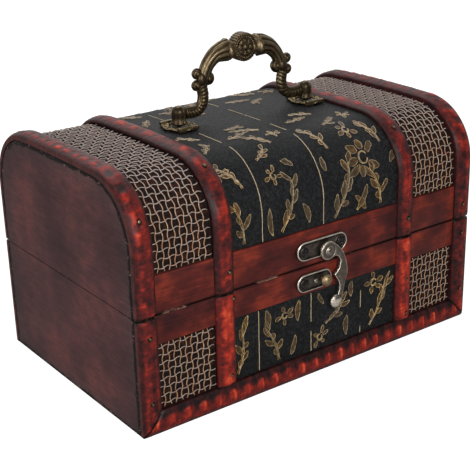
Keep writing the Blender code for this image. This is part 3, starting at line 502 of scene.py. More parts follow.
def curve_through(points, steps):
    """A smooth path through points."""
    points = np.array(points, float)
    padded = np.vstack([2 * points[0] - points[1], points, 2 * points[-1] - points[-2]])
    t = np.linspace(0, 1, steps, endpoint=False)[:, None]
    parts = []
    for number in range(len(points) - 1):
        a, b, c, d = padded[number:number + 4]
        bend, twist = 2 * a - 5 * b + 4 * c - d, 3 * b - a - 3 * c + d
        parts.append(0.5 * (2 * b + (c - a) * t + bend * t**2 + twist * t**3))
    return np.vstack([*parts, points[-1:]])


def add_piece(name, mesh, finish, body, replaces, sharp=None):
    """A smooth piece on a body, with its finish and the nodes that it stands for."""
    mesh.materials.clear()
    mesh.materials.append(finish[0])
    mesh.polygons.foreach_set("use_smooth", np.ones(len(mesh.polygons), bool))
    if sharp:
        mesh.set_sharp_from_angle(angle=radians(sharp))
    piece = bpy.data.objects.new(name, mesh)
    bpy.context.scene.collection.objects.link(piece)
    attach(piece, body)
    if replaces:
        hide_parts(*replaces)
    return piece


def add_layer(mesh, name, kind, field, rows):
    layer = mesh.attributes.new(name, kind, "POINT")
    layer.data.foreach_set(field, np.asarray(rows).astype(np.float32).ravel())


class Shape:
    """Points, faces and marks gathered into one piece."""

    def __init__(self):
        self.points, self.marks, self.paths, self.faces, self.count = [], [], [], [], 0

    def grid(self, points, level=0, green=0, blue=0, path=None, ring=False):
        """Adds rows of points, each closed to a loop; ring joins the rows too, or else caps close them.
        Level, green and blue are the marks that the finishes read."""
        rows, columns = points.shape[:2]
        index = self.count + np.arange(rows * columns).reshape(rows, columns)
        if not ring:
            self.faces += [index[0][::-1].tolist(), index[-1].tolist()]
        index = np.hstack([index, index[:, :1]])
        if ring:
            index = np.vstack([index, index[:1]])
        quads = np.stack([index[:-1, :-1], index[:-1, 1:], index[1:, 1:], index[1:, :-1]], -1)
        self.faces += quads.reshape(-1, 4).tolist()
        self.points.append(points.reshape(-1, 3))
        self.marks.append(stack(level + 0 * points[..., 0], green, blue, 1).reshape(-1, 4))
        self.paths.append((points if path is None else path).reshape(-1, 3))
        self.count += rows * columns

    def piece(self, name, body, finish, *replaces, sharp=38, tidy=True):
        mesh = bpy.data.meshes.new(name)
        mesh.from_pydata(np.vstack(self.points).tolist(), [], self.faces)
        add_layer(mesh, "mark", "FLOAT_COLOR", "color", np.vstack(self.marks))
        add_layer(mesh, "path", "FLOAT_VECTOR", "vector", np.vstack(self.paths))
        if tidy:
            shell = bmesh.new()
            shell.from_mesh(mesh)
            bmesh.ops.recalc_face_normals(shell, faces=shell.faces)
            shell.to_mesh(mesh)
            shell.free()
        return add_piece(name, mesh, finish, body, replaces, sharp)


# Carved trims

def teeth(along, across, seed, drift, cloud, mottle):
    """Hooked teeth in a row, coloured with painted light: painted highlights up each tooth and along its
    hook, and painted shade in the hollows over them and along the edges.
    """
    turn = along / TOOTH_PITCH + drift * 0.5 + 0.05 * across
    unit, vary = turn % 1, 0.8 + 0.35 * sin(np.floor(turn) * 2.4 + seed)
    # Painted shade along the lower and upper edges, and a painted lit face under each hook.
    body = window(across, 0.04, 0.2, 0.58, 0.84)
    crest = 0.68 + 0.07 * smooth(unit, 0.2, 0.5)
    inside = window(unit, 0.12, 0.4, 0.6, 0.7) * smooth(across, 0.2, 0.36)
    inside = inside * (1 - smooth(across, crest, crest + 0.08))
    # Painted highlights up each tooth and along its hook, and painted shade in the hollow over it.
    tooth_highlight = bell(unit, 0.57, 0.085) * window(across, 0.2, 0.46, 0.74, 0.84)
    hook = bell(across, crest, 0.06) * window(unit, 0.14, 0.4, 0.6, 0.68)
    hollow_shade = (1 - smooth(np.abs((unit + 0.1) % 1 - 0.15), 0.06, 0.22)) * smooth(across, 0.42, 0.6)
    level = 0.16 + 0.34 * body + 0.12 * inside + 0.4 * vary * tooth_highlight + 0.3 * vary * hook - 0.2 * hollow_shade
    return level + 0.07 * cloud + 0.07 * mottle


def lumps(along, across, seed, kind):
    """Height of the carving from 0 to 1 by its kind, for places in metres along and shares across; it also
    colours the trim, with painted highlights and painted shade.
    """
    drift = 0.14 * sin(along / 0.031 + seed) + 0.06 * sin(along / 0.011 + 2.7 * seed)
    where = stack(along, across * TRIM_WIDTH, seed)
    cloud, mottle = grain(where, 0.0075, seed), grain(where, 0.0024, seed + 3)
    if kind == "teeth":
        return np.clip(teeth(along, across, seed, drift, cloud, mottle), 0, 1)
    pitch = ARCH_PITCH if kind == "arch" else STRAP_PITCH
    unit = (along / pitch + drift + 0.12 * sin(across * 5)) % 1
    rib = bell(unit, 0.06, 0.05)
    streak = grain(stack(along * 0.1, across * TRIM_WIDTH, seed), 0.0012, seed + 7)
    if kind == "arch":
        # Painted shade towards both edges.
        body = window(across, 0.05, 0.25, 0.8, 0.97)
        upper = smooth(np.minimum(along, OVER - along), 0.015, 0.055)
        # Painted highlight along the outer rounding, stronger on the lid's upper arch.
        ridge = bell(across, 0.33, 0.16) * (0.7 + 0.4 * grain(where, 0.013, seed + 1))
        stamp = window(unit, 0.16, 0.3, 0.58, 0.72) * window(across, 0.16, 0.26, 0.46, 0.6)
        rough = 0.15 + 0.15 * cloud + 0.18 * mottle + 0.14 * streak
        level = 0.2 + body * (rough + (0.24 + 0.16 * upper) * ridge) + 0.12 * rib * body
        level = level - (0.1 + 0.3 * upper) * stamp * (0.8 + 0.5 * mottle)
    else:
        # Painted shade on both flanks of a strap.
        body = window(across, 0.06, 0.34, 0.72, 0.96)
        lobe = 0.5 - 0.5 * cos(2 * pi * unit)
        rough = 0.22 + 0.2 * lobe + 0.22 * cloud + 0.18 * mottle + 0.1 * streak
        level = (0.4 if kind == "low strap" else 0.15) + body * rough + 0.1 * rib
    return np.clip(level, 0, 1)


def carved(name, body, span, first, last, seat, seed, node, kind, side=0, place=None):
    """A half-round trim over a span, whose first and last places are numbers or follow the share across.
    An end trim gives its side, for its black end face."""
    place = place or (lambda s, x, h: skin(x, s, h))
    turns = np.linspace(pi, 0, TRIM_STEPS)
    share = np.concatenate([[0, 0], 0.5 + 0.5 * cos(turns), [1, 1]])
    rise = np.concatenate([[0, 0], sin(turns), [0, 0]])
    foot = np.concatenate([[1, 0.5], np.zeros(TRIM_STEPS), [0.5, 1]])
    starts, stops = [end(share) if callable(end) else end + 0 * share for end in (first, last)]
    steps = max(2, int(abs(stops - starts).max() / TRIM_STEP))
    run = np.linspace(0, 1, steps)[:, None]
    along = starts + (stops - starts) * run
    across = span[0] + (span[1] - span[0]) * share + 0 * along
    level = lumps(along, (1 - share if side > 0 else share) + 0 * along, seed, kind)
    fine = grain(stack(along, across, 0), 0.0014, seed + 5)
    from_end = np.minimum(run, 1 - run) * steps
    drop = END_DROP * (1 - np.minimum(1, from_end / 3)) * (0.3 + rise)
    height = PROUD * (0.5 + 0.5 * rise * (1 - CARVING * (1 - level) + 0.03 * fine)) - drop
    height = height * (1 - foot) + foot * np.where(foot == 1, seat, (PROUD * 0.5 + seat) / 2)
    outer = (share if side > 0 else 1 - share) > 0.985
    dark = outer * (1 - 0.35 * rise) * abs(side)
    # Painted shade at the cut ends, where the trims meet the seam and each other, with pale wear chips
    # there.
    end_shade_and_wear = 1 - np.minimum(1, from_end * TRIM_STEP / SHADED_WORN_END)
    shape = Shape()
    shape.grid(place(along, across, height), level, dark, end_shade_and_wear, stack(along, across, height))
    return shape.piece(name, body, TRIM, node)


def make_trims():
    mitre = BOTTOM_TRIM / END_TRIM
    lid = (TRIM_SEAM, OVER - TRIM_SEAM)
    for number, (side, label) in enumerate(SIDES):
        span = sorted((side * HALF_LENGTH, side * (HALF_LENGTH - END_TRIM)))
        centre = side * STRAP_CENTRE
        strap = (centre - STRAP_WIDTH / 2, centre + STRAP_WIDTH / 2)
        name, node = f"trim_arch_{label}", f"lid_end_trim_{label}"
        carved(name, "lid", span, *lid, GAP, 1.3 + number, node, "arch", side)
        name, node = f"strap_arch_{label}", f"lid_strap_{label}"
        carved(name, "lid", strap, *lid, STRAP_SEAT, 4.1 + number, node, "strap")
        for wall, wall_label in WALLS:
            seed = 7.7 + 3 * number + wall
            place = f"{wall_label}_{label}"

            def lower(share):
                inward = share if side < 0 else 1 - share
                return over(-SEAM, wall) - (GAP + inward * END_TRIM) * mitre * wall

            top, foot = over(-TRIM_SEAM, wall), over(BOTTOM_TRIM + GAP - SEAM, wall)
            name, node = f"trim_corner_{place}", f"corner_trim_{place}"
            carved(name, "box", span, top, lower, GAP, seed, node, "arch", side)
            name, node = f"strap_{place}", f"body_strap_{place}"
            carved(name, "box", strap, top, foot, STRAP_SEAT, seed + 9, node, "low strap")
    for wall, label in WALLS:
        def start(share):
            return -HALF_LENGTH + GAP + share * END_TRIM

        def stop(share):
            return HALF_LENGTH - GAP - share * END_TRIM

        carved(
            f"trim_bottom_{label}", "box", (0, BOTTOM_TRIM), start, stop, GAP, 0.4 + wall,
            f"bottom_trim_{label}", "teeth", place=lambda x, z, h: stack(x, wall * (HALF_DEPTH + h), z),
        )


# Bands, boards and coverings

def make_bands():
    """The CAD's bands with their edges eased."""
    for node in ("lid_band_front", "lid_band_back", "body_band_front", "body_band_back"):
        source = frame["nodes"][node]
        mesh = bpy.data.meshes.new(node + "_dressed")
        shell = bmesh.new()
        shell.from_mesh(source.data)
        bmesh.ops.remove_doubles(shell, verts=shell.verts, dist=2e-6)
        bmesh.ops.dissolve_limit(shell, angle_limit=0.02, verts=shell.verts, edges=shell.edges)
        edges = [e for e in shell.edges if len(e.link_faces) == 2 and e.calc_face_angle() > 0.6]
        bmesh.ops.bevel(
            shell, geom=edges, offset=BAND_BEVEL, segments=2, profile=0.5, affect="EDGES",
            clamp_overlap=True,
        )
        bmesh.ops.recalc_face_normals(shell, faces=shell.faces)
        shell.to_mesh(mesh)
        shell.free()
        add_piece(mesh.name, mesh, BAND, source["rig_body"], [node], 40)


# From a board's inner face over its edge to its middle: inset and depth in mm, rim mark, joint mark
BOARD_RINGS = (
    (0, END_BOARD / MM, 1, 0), (0, 1.2, 1, 0), (0, 0.5, 1, 1), (0.2, 0.2, 1, 1), (0.8, 0.04, 1, 0.9),
    (1.8, 0, 1, 0.5), (2.8, 0, 0.9, 0.12), (3.6, 0, 0.8, 0), (6, 0, 0.5, 0), (12, 0, 0.15, 0),
    (20, 0, 0, 0),
)
SEAM_GAP = 0.0002


def make_boards():
    """Flat end boards, greyer in a strip along their outline, and plain wood on the hidden boards."""
    box_outline = [(y, z) for y, z in (
        (-HALF_DEPTH, SEAM - SEAM_GAP), (-HALF_DEPTH, 0), (HALF_DEPTH, 0), (HALF_DEPTH, SEAM - SEAM_GAP),
    )]
    lid_outline = skin(0, np.linspace(SEAM_GAP, OVER - SEAM_GAP, 160), 0)[:, 1:]
    centre = np.array([0, SEAM])
    for side, label in SIDES:
        for node, body, outline in (("body_end_", "box", box_outline), ("lid_end_", "lid", lid_outline)):
            outline = np.array(outline)
            half = np.abs(outline - centre).max(axis=0)
            rings = []
            for inset, depth, _, _ in BOARD_RINGS:
                ring = centre + (outline - centre) * (1 - inset * MM / half)
                rings.append(stack(side * (HALF_LENGTH - depth * MM), ring[:, 0], ring[:, 1]))
            marks = np.array(BOARD_RINGS)[:, 2:, None]
            shape = Shape()
            shape.grid(np.array(rings), marks[:, 0], marks[:, 1])
            shape.piece(f"{node}{label}_board", body, END, node + label)
    for node in ("body_back", "body_front", "body_bottom", "lid_shell"):
        for slot in frame["nodes"][node].material_slots:
            slot.material = BOARD


def cover_sheet(name, body, span, run, base, top, finish, *nodes):
    """A thin sheet bent over the boards, with rounded edges and a slight unevenness."""
    low, high = span
    across = np.linspace(low, high, max(8, int((high - low) / SHEET_STEP)))
    edge = (top - base) * 0.6
    x = np.concatenate([[low, low], across[1:-1], [high, high]])
    x[2], x[-3] = low + edge, high - edge
    shoulder = top - edge * 0.6
    height = np.concatenate([[base, shoulder], np.full(len(across) - 2, top), [shoulder, base]])
    steps = max(8, int((run[1] - run[0]) / SHEET_STEP))
    s = np.linspace(*run, steps)[:, None]
    inside = (height >= top) & (x > low + 2 * edge) & (x < high - 2 * edge)
    shape = Shape()
    shape.grid(skin(x, s, height + 0.00005 * inside * grain(stack(x + 0 * s, s, 0), 0.011, 3)))
    return shape.piece(name, body, finish, *nodes)


def weave(name, body, span, run, node):
    """Standing cords along s, crossing cords along x, each bent round the others, over a dark cloth."""
    (low, high), (first, last) = span, run
    count = int(round((high - low - 0.003) / CORD_PITCH))
    rows = int(round((last - first) / ROW_PITCH))
    row_pitch = (last - first) / rows
    outer = abs(low) > abs(high)
    x_first = low + CORD_MARGIN if outer else high - CORD_MARGIN - (count - 1) * CORD_PITCH
    s_first = first + row_pitch / 2
    shape = Shape()
    cosines, sines = cos(circle(CORD_SIDES)), sin(circle(CORD_SIDES))
    s = np.arange(first + CORD_START, last, row_pitch / 6)[:, None]
    phase = pi * (s - s_first) / row_pitch
    for number in range(count):
        sign = -1 if number % 2 else 1
        place = x_first + number * CORD_PITCH
        x = place + CORD_WOBBLE * grain(stack(place, s, 0), 0.012, 2) + CORD_SWAY * sign * sin(phase)
        h = CORD_HEIGHT + CORD_LIFT * sign * cos(phase)
        radius = CORD_RADIUS * (1.05 + 0.12 * grain(stack(place, s, 1), 0.004, 4))
        x = x + radius * cosines
        shape.grid(skin(x, s, h + radius * sines), path=stack(x, s, 0))
    x = np.arange(low + CORD_START, high, CORD_PITCH / 6)[:, None]
    phase = pi * (x - x_first) / CORD_PITCH
    sway = ROW_SWAY * np.sign(sin(phase)) * np.abs(sin(phase)) ** 0.7
    for number in range(rows):
        sign = -1 if number % 2 else 1
        place = s_first + number * row_pitch
        s = place + CORD_WOBBLE * grain(stack(x, place, 3), 0.012, 2) - sign * sway
        h = CORD_HEIGHT - CORD_LIFT * sign * cos(phase)
        radius = CORD_RADIUS * (0.92 + 0.12 * grain(stack(x, place, 5), 0.004, 4))
        s = s + radius * cosines
        shape.grid(skin(x, s, h + radius * sines), 1, path=stack(s, x, 0))
    cords = shape.piece(name, body, CORD, node, sharp=180, tidy=False)
    cloth = cover_sheet(name + "_backing", body, span, run, CLOTH_SEAT, CLOTH_TOP, BACKING)


def make_coverings():
    limit, strap = HALF_LENGTH - END_TRIM - GAP, STRAP_CENTRE + STRAP_WIDTH / 2
    wall = (BOTTOM_TRIM + GAP - SEAM, BODY_BAND_BOTTOM - GAP)
    panels = (
        ("lid", "lid", "lid_{}", (LID_BAND_TOP + GAP, OVER - LID_BAND_TOP - GAP)),
        ("front", "box", "body_{}_front", wall),
        ("back", "box", "body_{}_back", (over(wall[1], 1), over(wall[0], 1))),
    )
    for side, span in (("left", (-limit, -strap)), ("right", (strap, limit))):
        for label, body, node, run in panels:
            weave(f"weave_{label}_{side}", body, span, run, f"{node.format('weave')}_{side}")
    span = (-LEATHER_HALF, LEATHER_HALF)
    for label, body, node, run in panels:
        node = node.format("leather")
        hide = cover_sheet("leather_" + label, body, span, run, COVER_SEAT, COVER, LEATHER, node)


# Castings

def mark_edges(mesh, gain, highlight_height):
    """Marks a mesh from 0 in its hollows to 1 on its ridges, with a painted highlight up to a height over
    its foot.
    """
    count = len(mesh.vertices)
    places, normals = np.empty(count * 3), np.empty(count * 3)
    mesh.vertices.foreach_get("co", places)
    mesh.vertices.foreach_get("normal", normals)
    places, normals = places.reshape(-1, 3), normals.reshape(-1, 3)
    ends = np.empty(len(mesh.edges) * 2, int)
    mesh.edges.foreach_get("vertices", ends)
    ends = ends.reshape(-1, 2)
    bend, links = np.zeros(count), np.zeros(count)
    for near, far in ((0, 1), (1, 0)):
        step = places[ends[:, far]] - places[ends[:, near]]
        step /= np.maximum(np.linalg.norm(step, axis=1), 1e-9)[:, None]
        np.add.at(bend, ends[:, near], (step * normals[ends[:, near]]).sum(axis=1))
        np.add.at(links, ends[:, near], 1)
    level = 0.45 - gain * bend / np.maximum(links, 1)
    # A painted highlight over the lowest part, such as the hook's bulb.
    if highlight_height:
        level += 0.4 * (1 - smooth(places[:, 2] - places[:, 2].min(), 0.7 * highlight_height, highlight_height))
    add_layer(mesh, "mark", "FLOAT_COLOR", "color", stack(np.clip(level, 0, 1), 0, 0, 1))


def cast(node, finish, voxel, relax, gain=2.2, highlight_height=0):
    """A CAD fitting as a soft-edged casting: remeshed, relaxed, worn bright on its ridges and given a
    painted highlight at its foot.
    """
    source = frame["nodes"][node]
    rough = bpy.data.objects.new("rough", source.data.copy())
    bpy.context.scene.collection.objects.link(rough)
    weld = rough.modifiers.new("weld", "WELD")
    weld.merge_threshold = 2e-6
    remesh = rough.modifiers.new("remesh", "REMESH")
    remesh.mode = "VOXEL"
    remesh.voxel_size = voxel
    soften = rough.modifiers.new("soften", "SMOOTH")
    soften.iterations = relax
    view = bpy.context.evaluated_depsgraph_get()
    mesh = bpy.data.meshes.new_from_object(rough.evaluated_get(view))
    bpy.data.objects.remove(rough)
    mark_edges(mesh, gain, highlight_height)
    add_piece(node + "_cast", mesh, finish, source["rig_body"], [node])


def turned(shape, outline, centre, axis, steps=32, squash=1, level=0.5, flute=None):
    """Revolves (radius, height) pairs about an axis; flute shapes the radius by angle."""
    axis = Vector(axis).normalized()
    side = axis.orthogonal().normalized() if abs(axis.y) < 0.5 else Vector((1, 0, 0))
    side, other, axis = np.array(side), np.array(axis.cross(side)), np.array(axis)
    angles = circle(steps)
    radius, height = np.array(outline).T[:, :, None]
    grow = 1
    if flute:
        grow = flute(angles, radius)
        # The mark follows the radius: a painted highlight on the full rib, painted shade on the narrower
        # flanks, and dark in the sunk lines.
        level = np.clip((grow - 0.87) / 0.13, 0, 1) ** 2 * 0.55 + 0.02
    x, y = radius * grow * cos(angles), radius * grow * sin(angles)
    points = np.array(centre) + x[..., None] * side + squash * y[..., None] * other
    shape.grid(points + (height + 0 * x)[..., None] * axis, level)


def swept(shape, path, radius, relief, sides, flip):
    """A casting along a path in the plane of x and z; relief gives the radius share and mark."""
    out = -flip * sideways(path)
    angles = circle(sides)
    length = np.concatenate([[0], np.cumsum(np.linalg.norm(np.diff(path, axis=0), axis=1))])[:, None]
    share, level = relief(angles, length, length[-1])
    size = (radius + 0 * path[:, 0])[:, None] * share
    x = path[:, :1] + size * cos(angles) * out[:, :1]
    z = path[:, 1:] + size * cos(angles) * out[:, 1:]
    shape.grid(stack(x, size * BAIL_DEPTH * sin(angles), z), level)


def thread(shape, path, height, radius, level):
    """A cast thread lying level along a path in x and y, brighter on its top."""
    out, angles = sideways(path), circle(8)
    size = (radius + 0 * path[:, 0])[:, None]
    x = path[:, :1] + size * cos(angles) * out[:, :1]
    y = path[:, 1:] + size * cos(angles) * out[:, 1:]
    top = level * np.maximum(0, sin(angles)) ** 0.7
    shape.grid(stack(x, y, height + THREAD_TALL * size * sin(angles)), top)


def fluted(angles, length, whole):
    """Ridges along an arm, deeper towards its flare."""
    ridge = np.abs(cos(5 * angles)) ** 0.55
    depth = 0.06 + 0.12 * smooth(length / whole, 0.1, 0.8)
    return 1 - depth * (1 - ridge), 0.08 + 0.56 * ridge


def twisted(angles, length, whole):
    """A leg with slanting leaf cuts on one side and a smooth roll on the other."""
    cut = np.abs(sin(1.5 * angles + length / LEAF_CUT)) ** 0.45
    leafy = smooth(-cos(angles), -0.75, -0.3)
    seam = bell(cos(angles), 0.45, 0.12)
    level = 0.02 + 0.4 * (1 - leafy) + 0.58 * leafy * cut - 0.1 * seam
    return 1 - 0.16 * leafy * (1 - cut) - 0.06 * seam, level


def post_lobes(angles, radius):
    """A wide rib to the front and back between sunk lines, and plain flanks, which the marks in turned paint
    darker as shade.
    """
    face = np.abs(np.abs((angles / pi) % 1) - 0.5) * pi
    sunk = bell(face, 0.62, 0.09) + 0.35 * bell(face, 0, 0.07)
    return 1 - (0.13 * sunk + 0.05 * smooth(face, 0.7, 0.9)) * smooth(radius, 0.001, 0.003)


# Handle

HANDLE_SHIFT = 0.0035
HALF_SPACING = 0.0438
BAIL_AXIS_Z = 0.1365
BAIL_RISE = 0.0304
BAIL_DEPTH = 0.76
LEG_RADIUS = 0.0033
LEAF_CUT = 0.00064
LEFT_INWARD = 0.0013
KNOT_SHARE = 0.6
KNOT_OFFSET = (-0.0004, 0.0008)
KNOT_HALF = (0.0038, 0.0046)
ARM_RADIUS = 0.0038
FLARE_RADIUS = 0.0062
SCROLL_RADIUS = 0.0038
ROSETTE_RADIUS = 0.0078
ROSETTE_DEPTH = 0.0044
COLLAR_LENGTH = 0.0042
POST_RADIUS = 0.0038
POST_SHOULDER = 0.0062
POST_Z = 0.1313
PIN_RADIUS = 0.0019
AXIS_POINT = 0.0001
PLATE_Z = 0.1293
PLATE_HALF = (0.0088, 0.0102)
PLATE_THREAD_Z = PLATE_Z + 0.0007
THREAD_TALL = 1.8
BAR_HALF = 0.0062
BAR_PLACE = 0.0088

# Legs and arms in shares of the spacing or reach and the rise, and scrolls in their radii from a leg's end
LEG_SHARES = ((0.79, -0.01), (0.695, 0.02), (0.626, 0.11), (0.605, 0.25), (0.618, 0.39), (0.625, 0.52))
ARM_SHARES = (
    (1, 0.55, 0), (0.90, 0.68, 0.04), (0.77, 0.80, 0.12),
    (0.51, 0.925, 0.38), (0.21, 0.975, 0.85), (0, 0.985, 1),
)
SCROLL_SHARES = ((-1.13, 0.17, 1), (0.73, 1.07, 0.8), (0.84, -0.57, 0.8))

# Outlines as radius and height: the collar, a post's foot in mm, and the rosette in shares
COLLAR = (
    (0.1, 5.0), (4.2, 5.0), (4.4, 6.4), (4.3, 7.4), (4.3, 8.2),
    (5.0, 8.6), (5.6, 8.9), (6.1, 9.4), (6.3, 10.3),
    (5.9, 11.1), (5.2, 11.5), (0.1, 11.5),
)
POST_FOOT = ((3.8, 4), (3.8, 1.8), (4.2, 1.2), (4.4, 0.6), (4.2, 0), (0.1, 0))
ROSETTE_SHARES = (
    (0.0001, 1.0), (0.08, 0.98), (0.14, 0.93), (0.19, 0.84), (0.25, 0.8), (0.32, 0.83), (0.42, 0.87),
    (0.52, 0.86), (0.6, 0.81), (0.64, 0.77), (0.68, 0.79), (0.74, 0.82), (0.8, 0.8), (0.84, 0.75),
    (0.9, 0.78), (0.95, 0.77), (0.985, 0.7), (1.0, 0.55), (1.0, 0.2),
)

# The seat of a handle plate: share of the plate, height in mm and mark
SEAT_RINGS = (
    (0.05, 0, 0), (0.50, 0, 0), (0.54, 0.4, 0.2), (0.52, 1, 0.5),
    (0.48, 1.2, 0.35), (0.4, 1.2, 0.2), (0.3, 1.1, 0),
)


def scroll(shape, centre, radius, hand):
    """A round volute with a spiral cut on both faces."""
    tilt = np.linspace(0.02, pi - 0.02, 30)[:, None]
    turn = circle(36)
    face = np.minimum(tilt, pi - tilt)
    spiral = np.abs(sin(0.5 * turn * hand + face * 3.6)) ** 0.6
    cut = (1 - spiral) * window(face, 0.1, 0.5, 1.25, 1.5)
    size = radius * (1 - 0.2 * cut)
    x, z = centre[0] + size * sin(tilt) * cos(turn), centre[1] + size * sin(tilt) * sin(turn)
    shape.grid(stack(x, -size * cos(tilt) * BAIL_DEPTH, z), 0.08 + 0.42 * (1 - cut))


def rosette(shape, x, z):
    """A thick beaded disc with low petals and a raised middle on both faces."""
    outline = [*ROSETTE_SHARES, *[(r, -h) for r, h in ROSETTE_SHARES[::-1]]]
    share, height = np.array(outline).T[:, :, None]
    turn = circle(192)
    petals = bell(share, 0.4, 0.14) * (np.abs(cos(4 * turn)) ** 0.5 - 0.5)
    dots = bell(share, 0.72, 0.06) * cos(26 * turn)
    rim = smooth(share, 0.84, 0.93)
    beads = rim * (np.abs(cos(15 * turn)) ** 0.6 - 1)
    lift = ROSETTE_DEPTH * (1 + 0.16 * petals + 0.06 * dots + 0.14 * beads)
    size = share * ROSETTE_RADIUS * (1 + 0.05 * beads)
    level = np.clip(0.4 + 0.3 * petals + 0.2 * dots + 0.5 * (beads + 0.4) * rim, 0, 1)
    shape.grid(stack(x + size * cos(turn), -height * lift, z + size * sin(turn)), level)


def make_bail():
    """The swinging handle: pins, twisted legs, knots, scrolls, fluted arms, collars and the rosette."""
    shape = Shape()
    arm_start = ROSETTE_RADIUS + COLLAR_LENGTH / 2
    reach = HALF_SPACING * KNOT_SHARE - arm_start
    for side in (-1, 1):
        def put(u, v):
            return HANDLE_SHIFT + side * u, BAIL_AXIS_Z + v

        inward = LEFT_INWARD if side < 0 else 0
        leg = [(HALF_SPACING - POST_RADIUS - GAP, 0)]
        leg += [(u * HALF_SPACING, v * BAIL_RISE) for u, v in LEG_SHARES]
        leg[:3] = [(u - inward * share, v) for (u, v), share in zip(leg, (1, 1, 0.5))]
        swept(shape, curve_through([put(*point) for point in leg], 18), LEG_RADIUS, twisted, 48, side)
        path = curve_through([put(arm_start + u * reach, v * BAIL_RISE) for u, v, _ in ARM_SHARES], 10)
        grown = curve_through([(share, 0) for _, _, share in ARM_SHARES], 10)[:, 0]
        swept(shape, path, ARM_RADIUS + (FLARE_RADIUS - ARM_RADIUS) * grown, fluted, 72, side)
        u_end, v_end = leg[-1]
        x, z = put(u_end + KNOT_OFFSET[0], v_end + KNOT_OFFSET[1])
        wide, tall = KNOT_HALF
        turns = np.linspace(0, pi, 16)
        knot = [(max(AXIS_POINT, wide * sin(turn)), -tall * cos(turn)) for turn in turns]
        turned(shape, knot, (x, 0, z), (0, 0, 1), 32, BAIL_DEPTH, 0.4)
        for u, v, share in SCROLL_SHARES:
            centre = put(u_end + u * SCROLL_RADIUS, v_end + v * SCROLL_RADIUS)
            scroll(shape, centre, SCROLL_RADIUS * share, side)
        collar = np.array(COLLAR) * MM
        turned(shape, collar, (HANDLE_SHIFT, 0, BAIL_AXIS_Z + BAIL_RISE), (side, 0, 0), 48, BAIL_DEPTH, 0.62)
        near, far = HALF_SPACING - inward - 0.008, HALF_SPACING - inward + 0.001
        pin = [(AXIS_POINT, near), (PIN_RADIUS, near), (PIN_RADIUS, far), (AXIS_POINT, far)]
        turned(shape, pin, (HANDLE_SHIFT, 0, BAIL_AXIS_Z), (side, 0, 0), 20)
    rosette(shape, HANDLE_SHIFT, BAIL_AXIS_Z + BAIL_RISE)
    shape.piece("bail_casting", "bail", BRONZE, "handle_bail", sharp=180)


def make_posts():
    turns = np.linspace(pi / 2, 0, 12)
    dome = [(max(AXIS_POINT, POST_RADIUS * cos(t)), POST_SHOULDER + POST_RADIUS * sin(t)) for t in turns]
    for side, label in SIDES:
        x = HANDLE_SHIFT + side * HALF_SPACING + (LEFT_INWARD if side < 0 else 0)
        shape = Shape()
        outline = np.vstack([dome, np.array(POST_FOOT) * MM])
        turned(shape, outline, (x, 0, POST_Z), (0, 0, 1), 96, flute=post_lobes)
        shape.piece(f"post_{label}", "lid", BRONZE, f"handle_post_{label}", sharp=60)
        plate(f"plate_{label}", x, f"handle_plate_{label}")


def plate(name, x, node):
    """An open cast plate: a small seat, a straight bar front and back, and scrolls in a lobed rim."""
    shape = Shape()
    half = PLATE_HALF
    turn = circle(160)
    share, height, level = np.array(SEAT_RINGS).T[:, :, None]
    rings = stack(x + share * half[0] * cos(turn), share * half[1] * sin(turn), PLATE_Z + height * MM)
    shape.grid(rings, level, ring=True)
    run = np.linspace(-1, 1, 60)[:, None]
    lift = 1 - 0.28 * smooth(run, 0.0, 0.12) * (0.5 + 0.5 * cos(run * 26))
    lift = lift - 0.2 * smooth(np.abs(run), 0.9, 1)
    square = [np.abs(part) ** 0.4 * np.sign(part) for part in (cos(circle(14)), sin(circle(14)))]
    for side in (-1, 1):
        y = side * BAR_PLACE + 0.0011 * square[0]
        z = PLATE_Z + 0.0012 + 0.0014 * square[1] * lift
        shape.grid(stack(x + BAR_HALF * run, y, z), 0.2 + 0.45 * lift)
    lap = np.linspace(0, 2 * pi, 161)
    lobes = 1 - 0.17 * (1 - np.abs(cos(4 * lap)) ** 0.6)
    rim = np.stack([x + lobes * half[0] * cos(lap), lobes * half[1] * sin(lap)], -1)
    thread(shape, rim, PLATE_THREAD_Z, 0.00042 * (0.9 + 0.35 * cos(16 * lap)), 0.85)
    t = np.linspace(0, 1, 34)
    for number in range(12):
        start, hand = (number + 0.5) * pi / 6, 1 if number % 2 else -1
        reach = 0.0021 * (1 - 0.72 * t) * (1.15 if number % 3 else 0.85)
        spin = start + hand * (7.4 * t - 2.2)
        x_path = x + 0.74 * half[0] * cos(start) + reach * cos(spin)
        y_path = 0.74 * half[1] * sin(start) + reach * sin(spin)
        thread(shape, np.stack([x_path, y_path], -1), PLATE_THREAD_Z, 0.00044 * (1.15 - 0.5 * t), 1.0)
    shape.piece(name, "lid", BRONZE, node, sharp=50)


# Latch, hinges and nails

# A plate's reach in x, its height and its end radius
UPPER_PLATE = ((-0.0158, 0.0182), 0.0726768, 0.00525)
LOWER_PLATE = ((-0.0158, 0.0077), 0.054686, 0.0050)
LATCH_SEAT = 0.0022
HINGE_FACE = HALF_DEPTH + 0.0030
HINGE_NAIL_RISE = 0.0066
HINGE_NAIL_SHIFT = 0.0016

# From a latch plate's edge to its middle: inset and height in mm, and mark
LATCH_RINGS = (
    (0, 0, 0.2), (0, 0.9, 0.5), (0.2, 1.2, 0.9), (0.5, 1.35, 0.95), (0.7, 1.3, 0.7), (0.9, 1.05, 0.15),
    (1.3, 0.9, 0.05), (2.2, 0.92, 0.22), (3.6, 0.95, 0.32), (4.9, 0.95, 0.32),
)

# Beads: name, body, distance off the front, thickness, mark, and places with their radius, in mm
BEADS = (
    ("screw_cups_upper", "lid", 3.1, 0.3, 0.35, ((-11.3, 72.6768, 3.4), (13.7, 72.6768, 3.4))),
    ("screw_cup_lower", "box", 3.1, 0.3, 0.35, ((-11.3, 54.686, 3.3),)),
    ("hook_eye_rim", "hook", 6.2, 0.35, 0.6, ((3.3, 70.7768, 4.5),)),
)

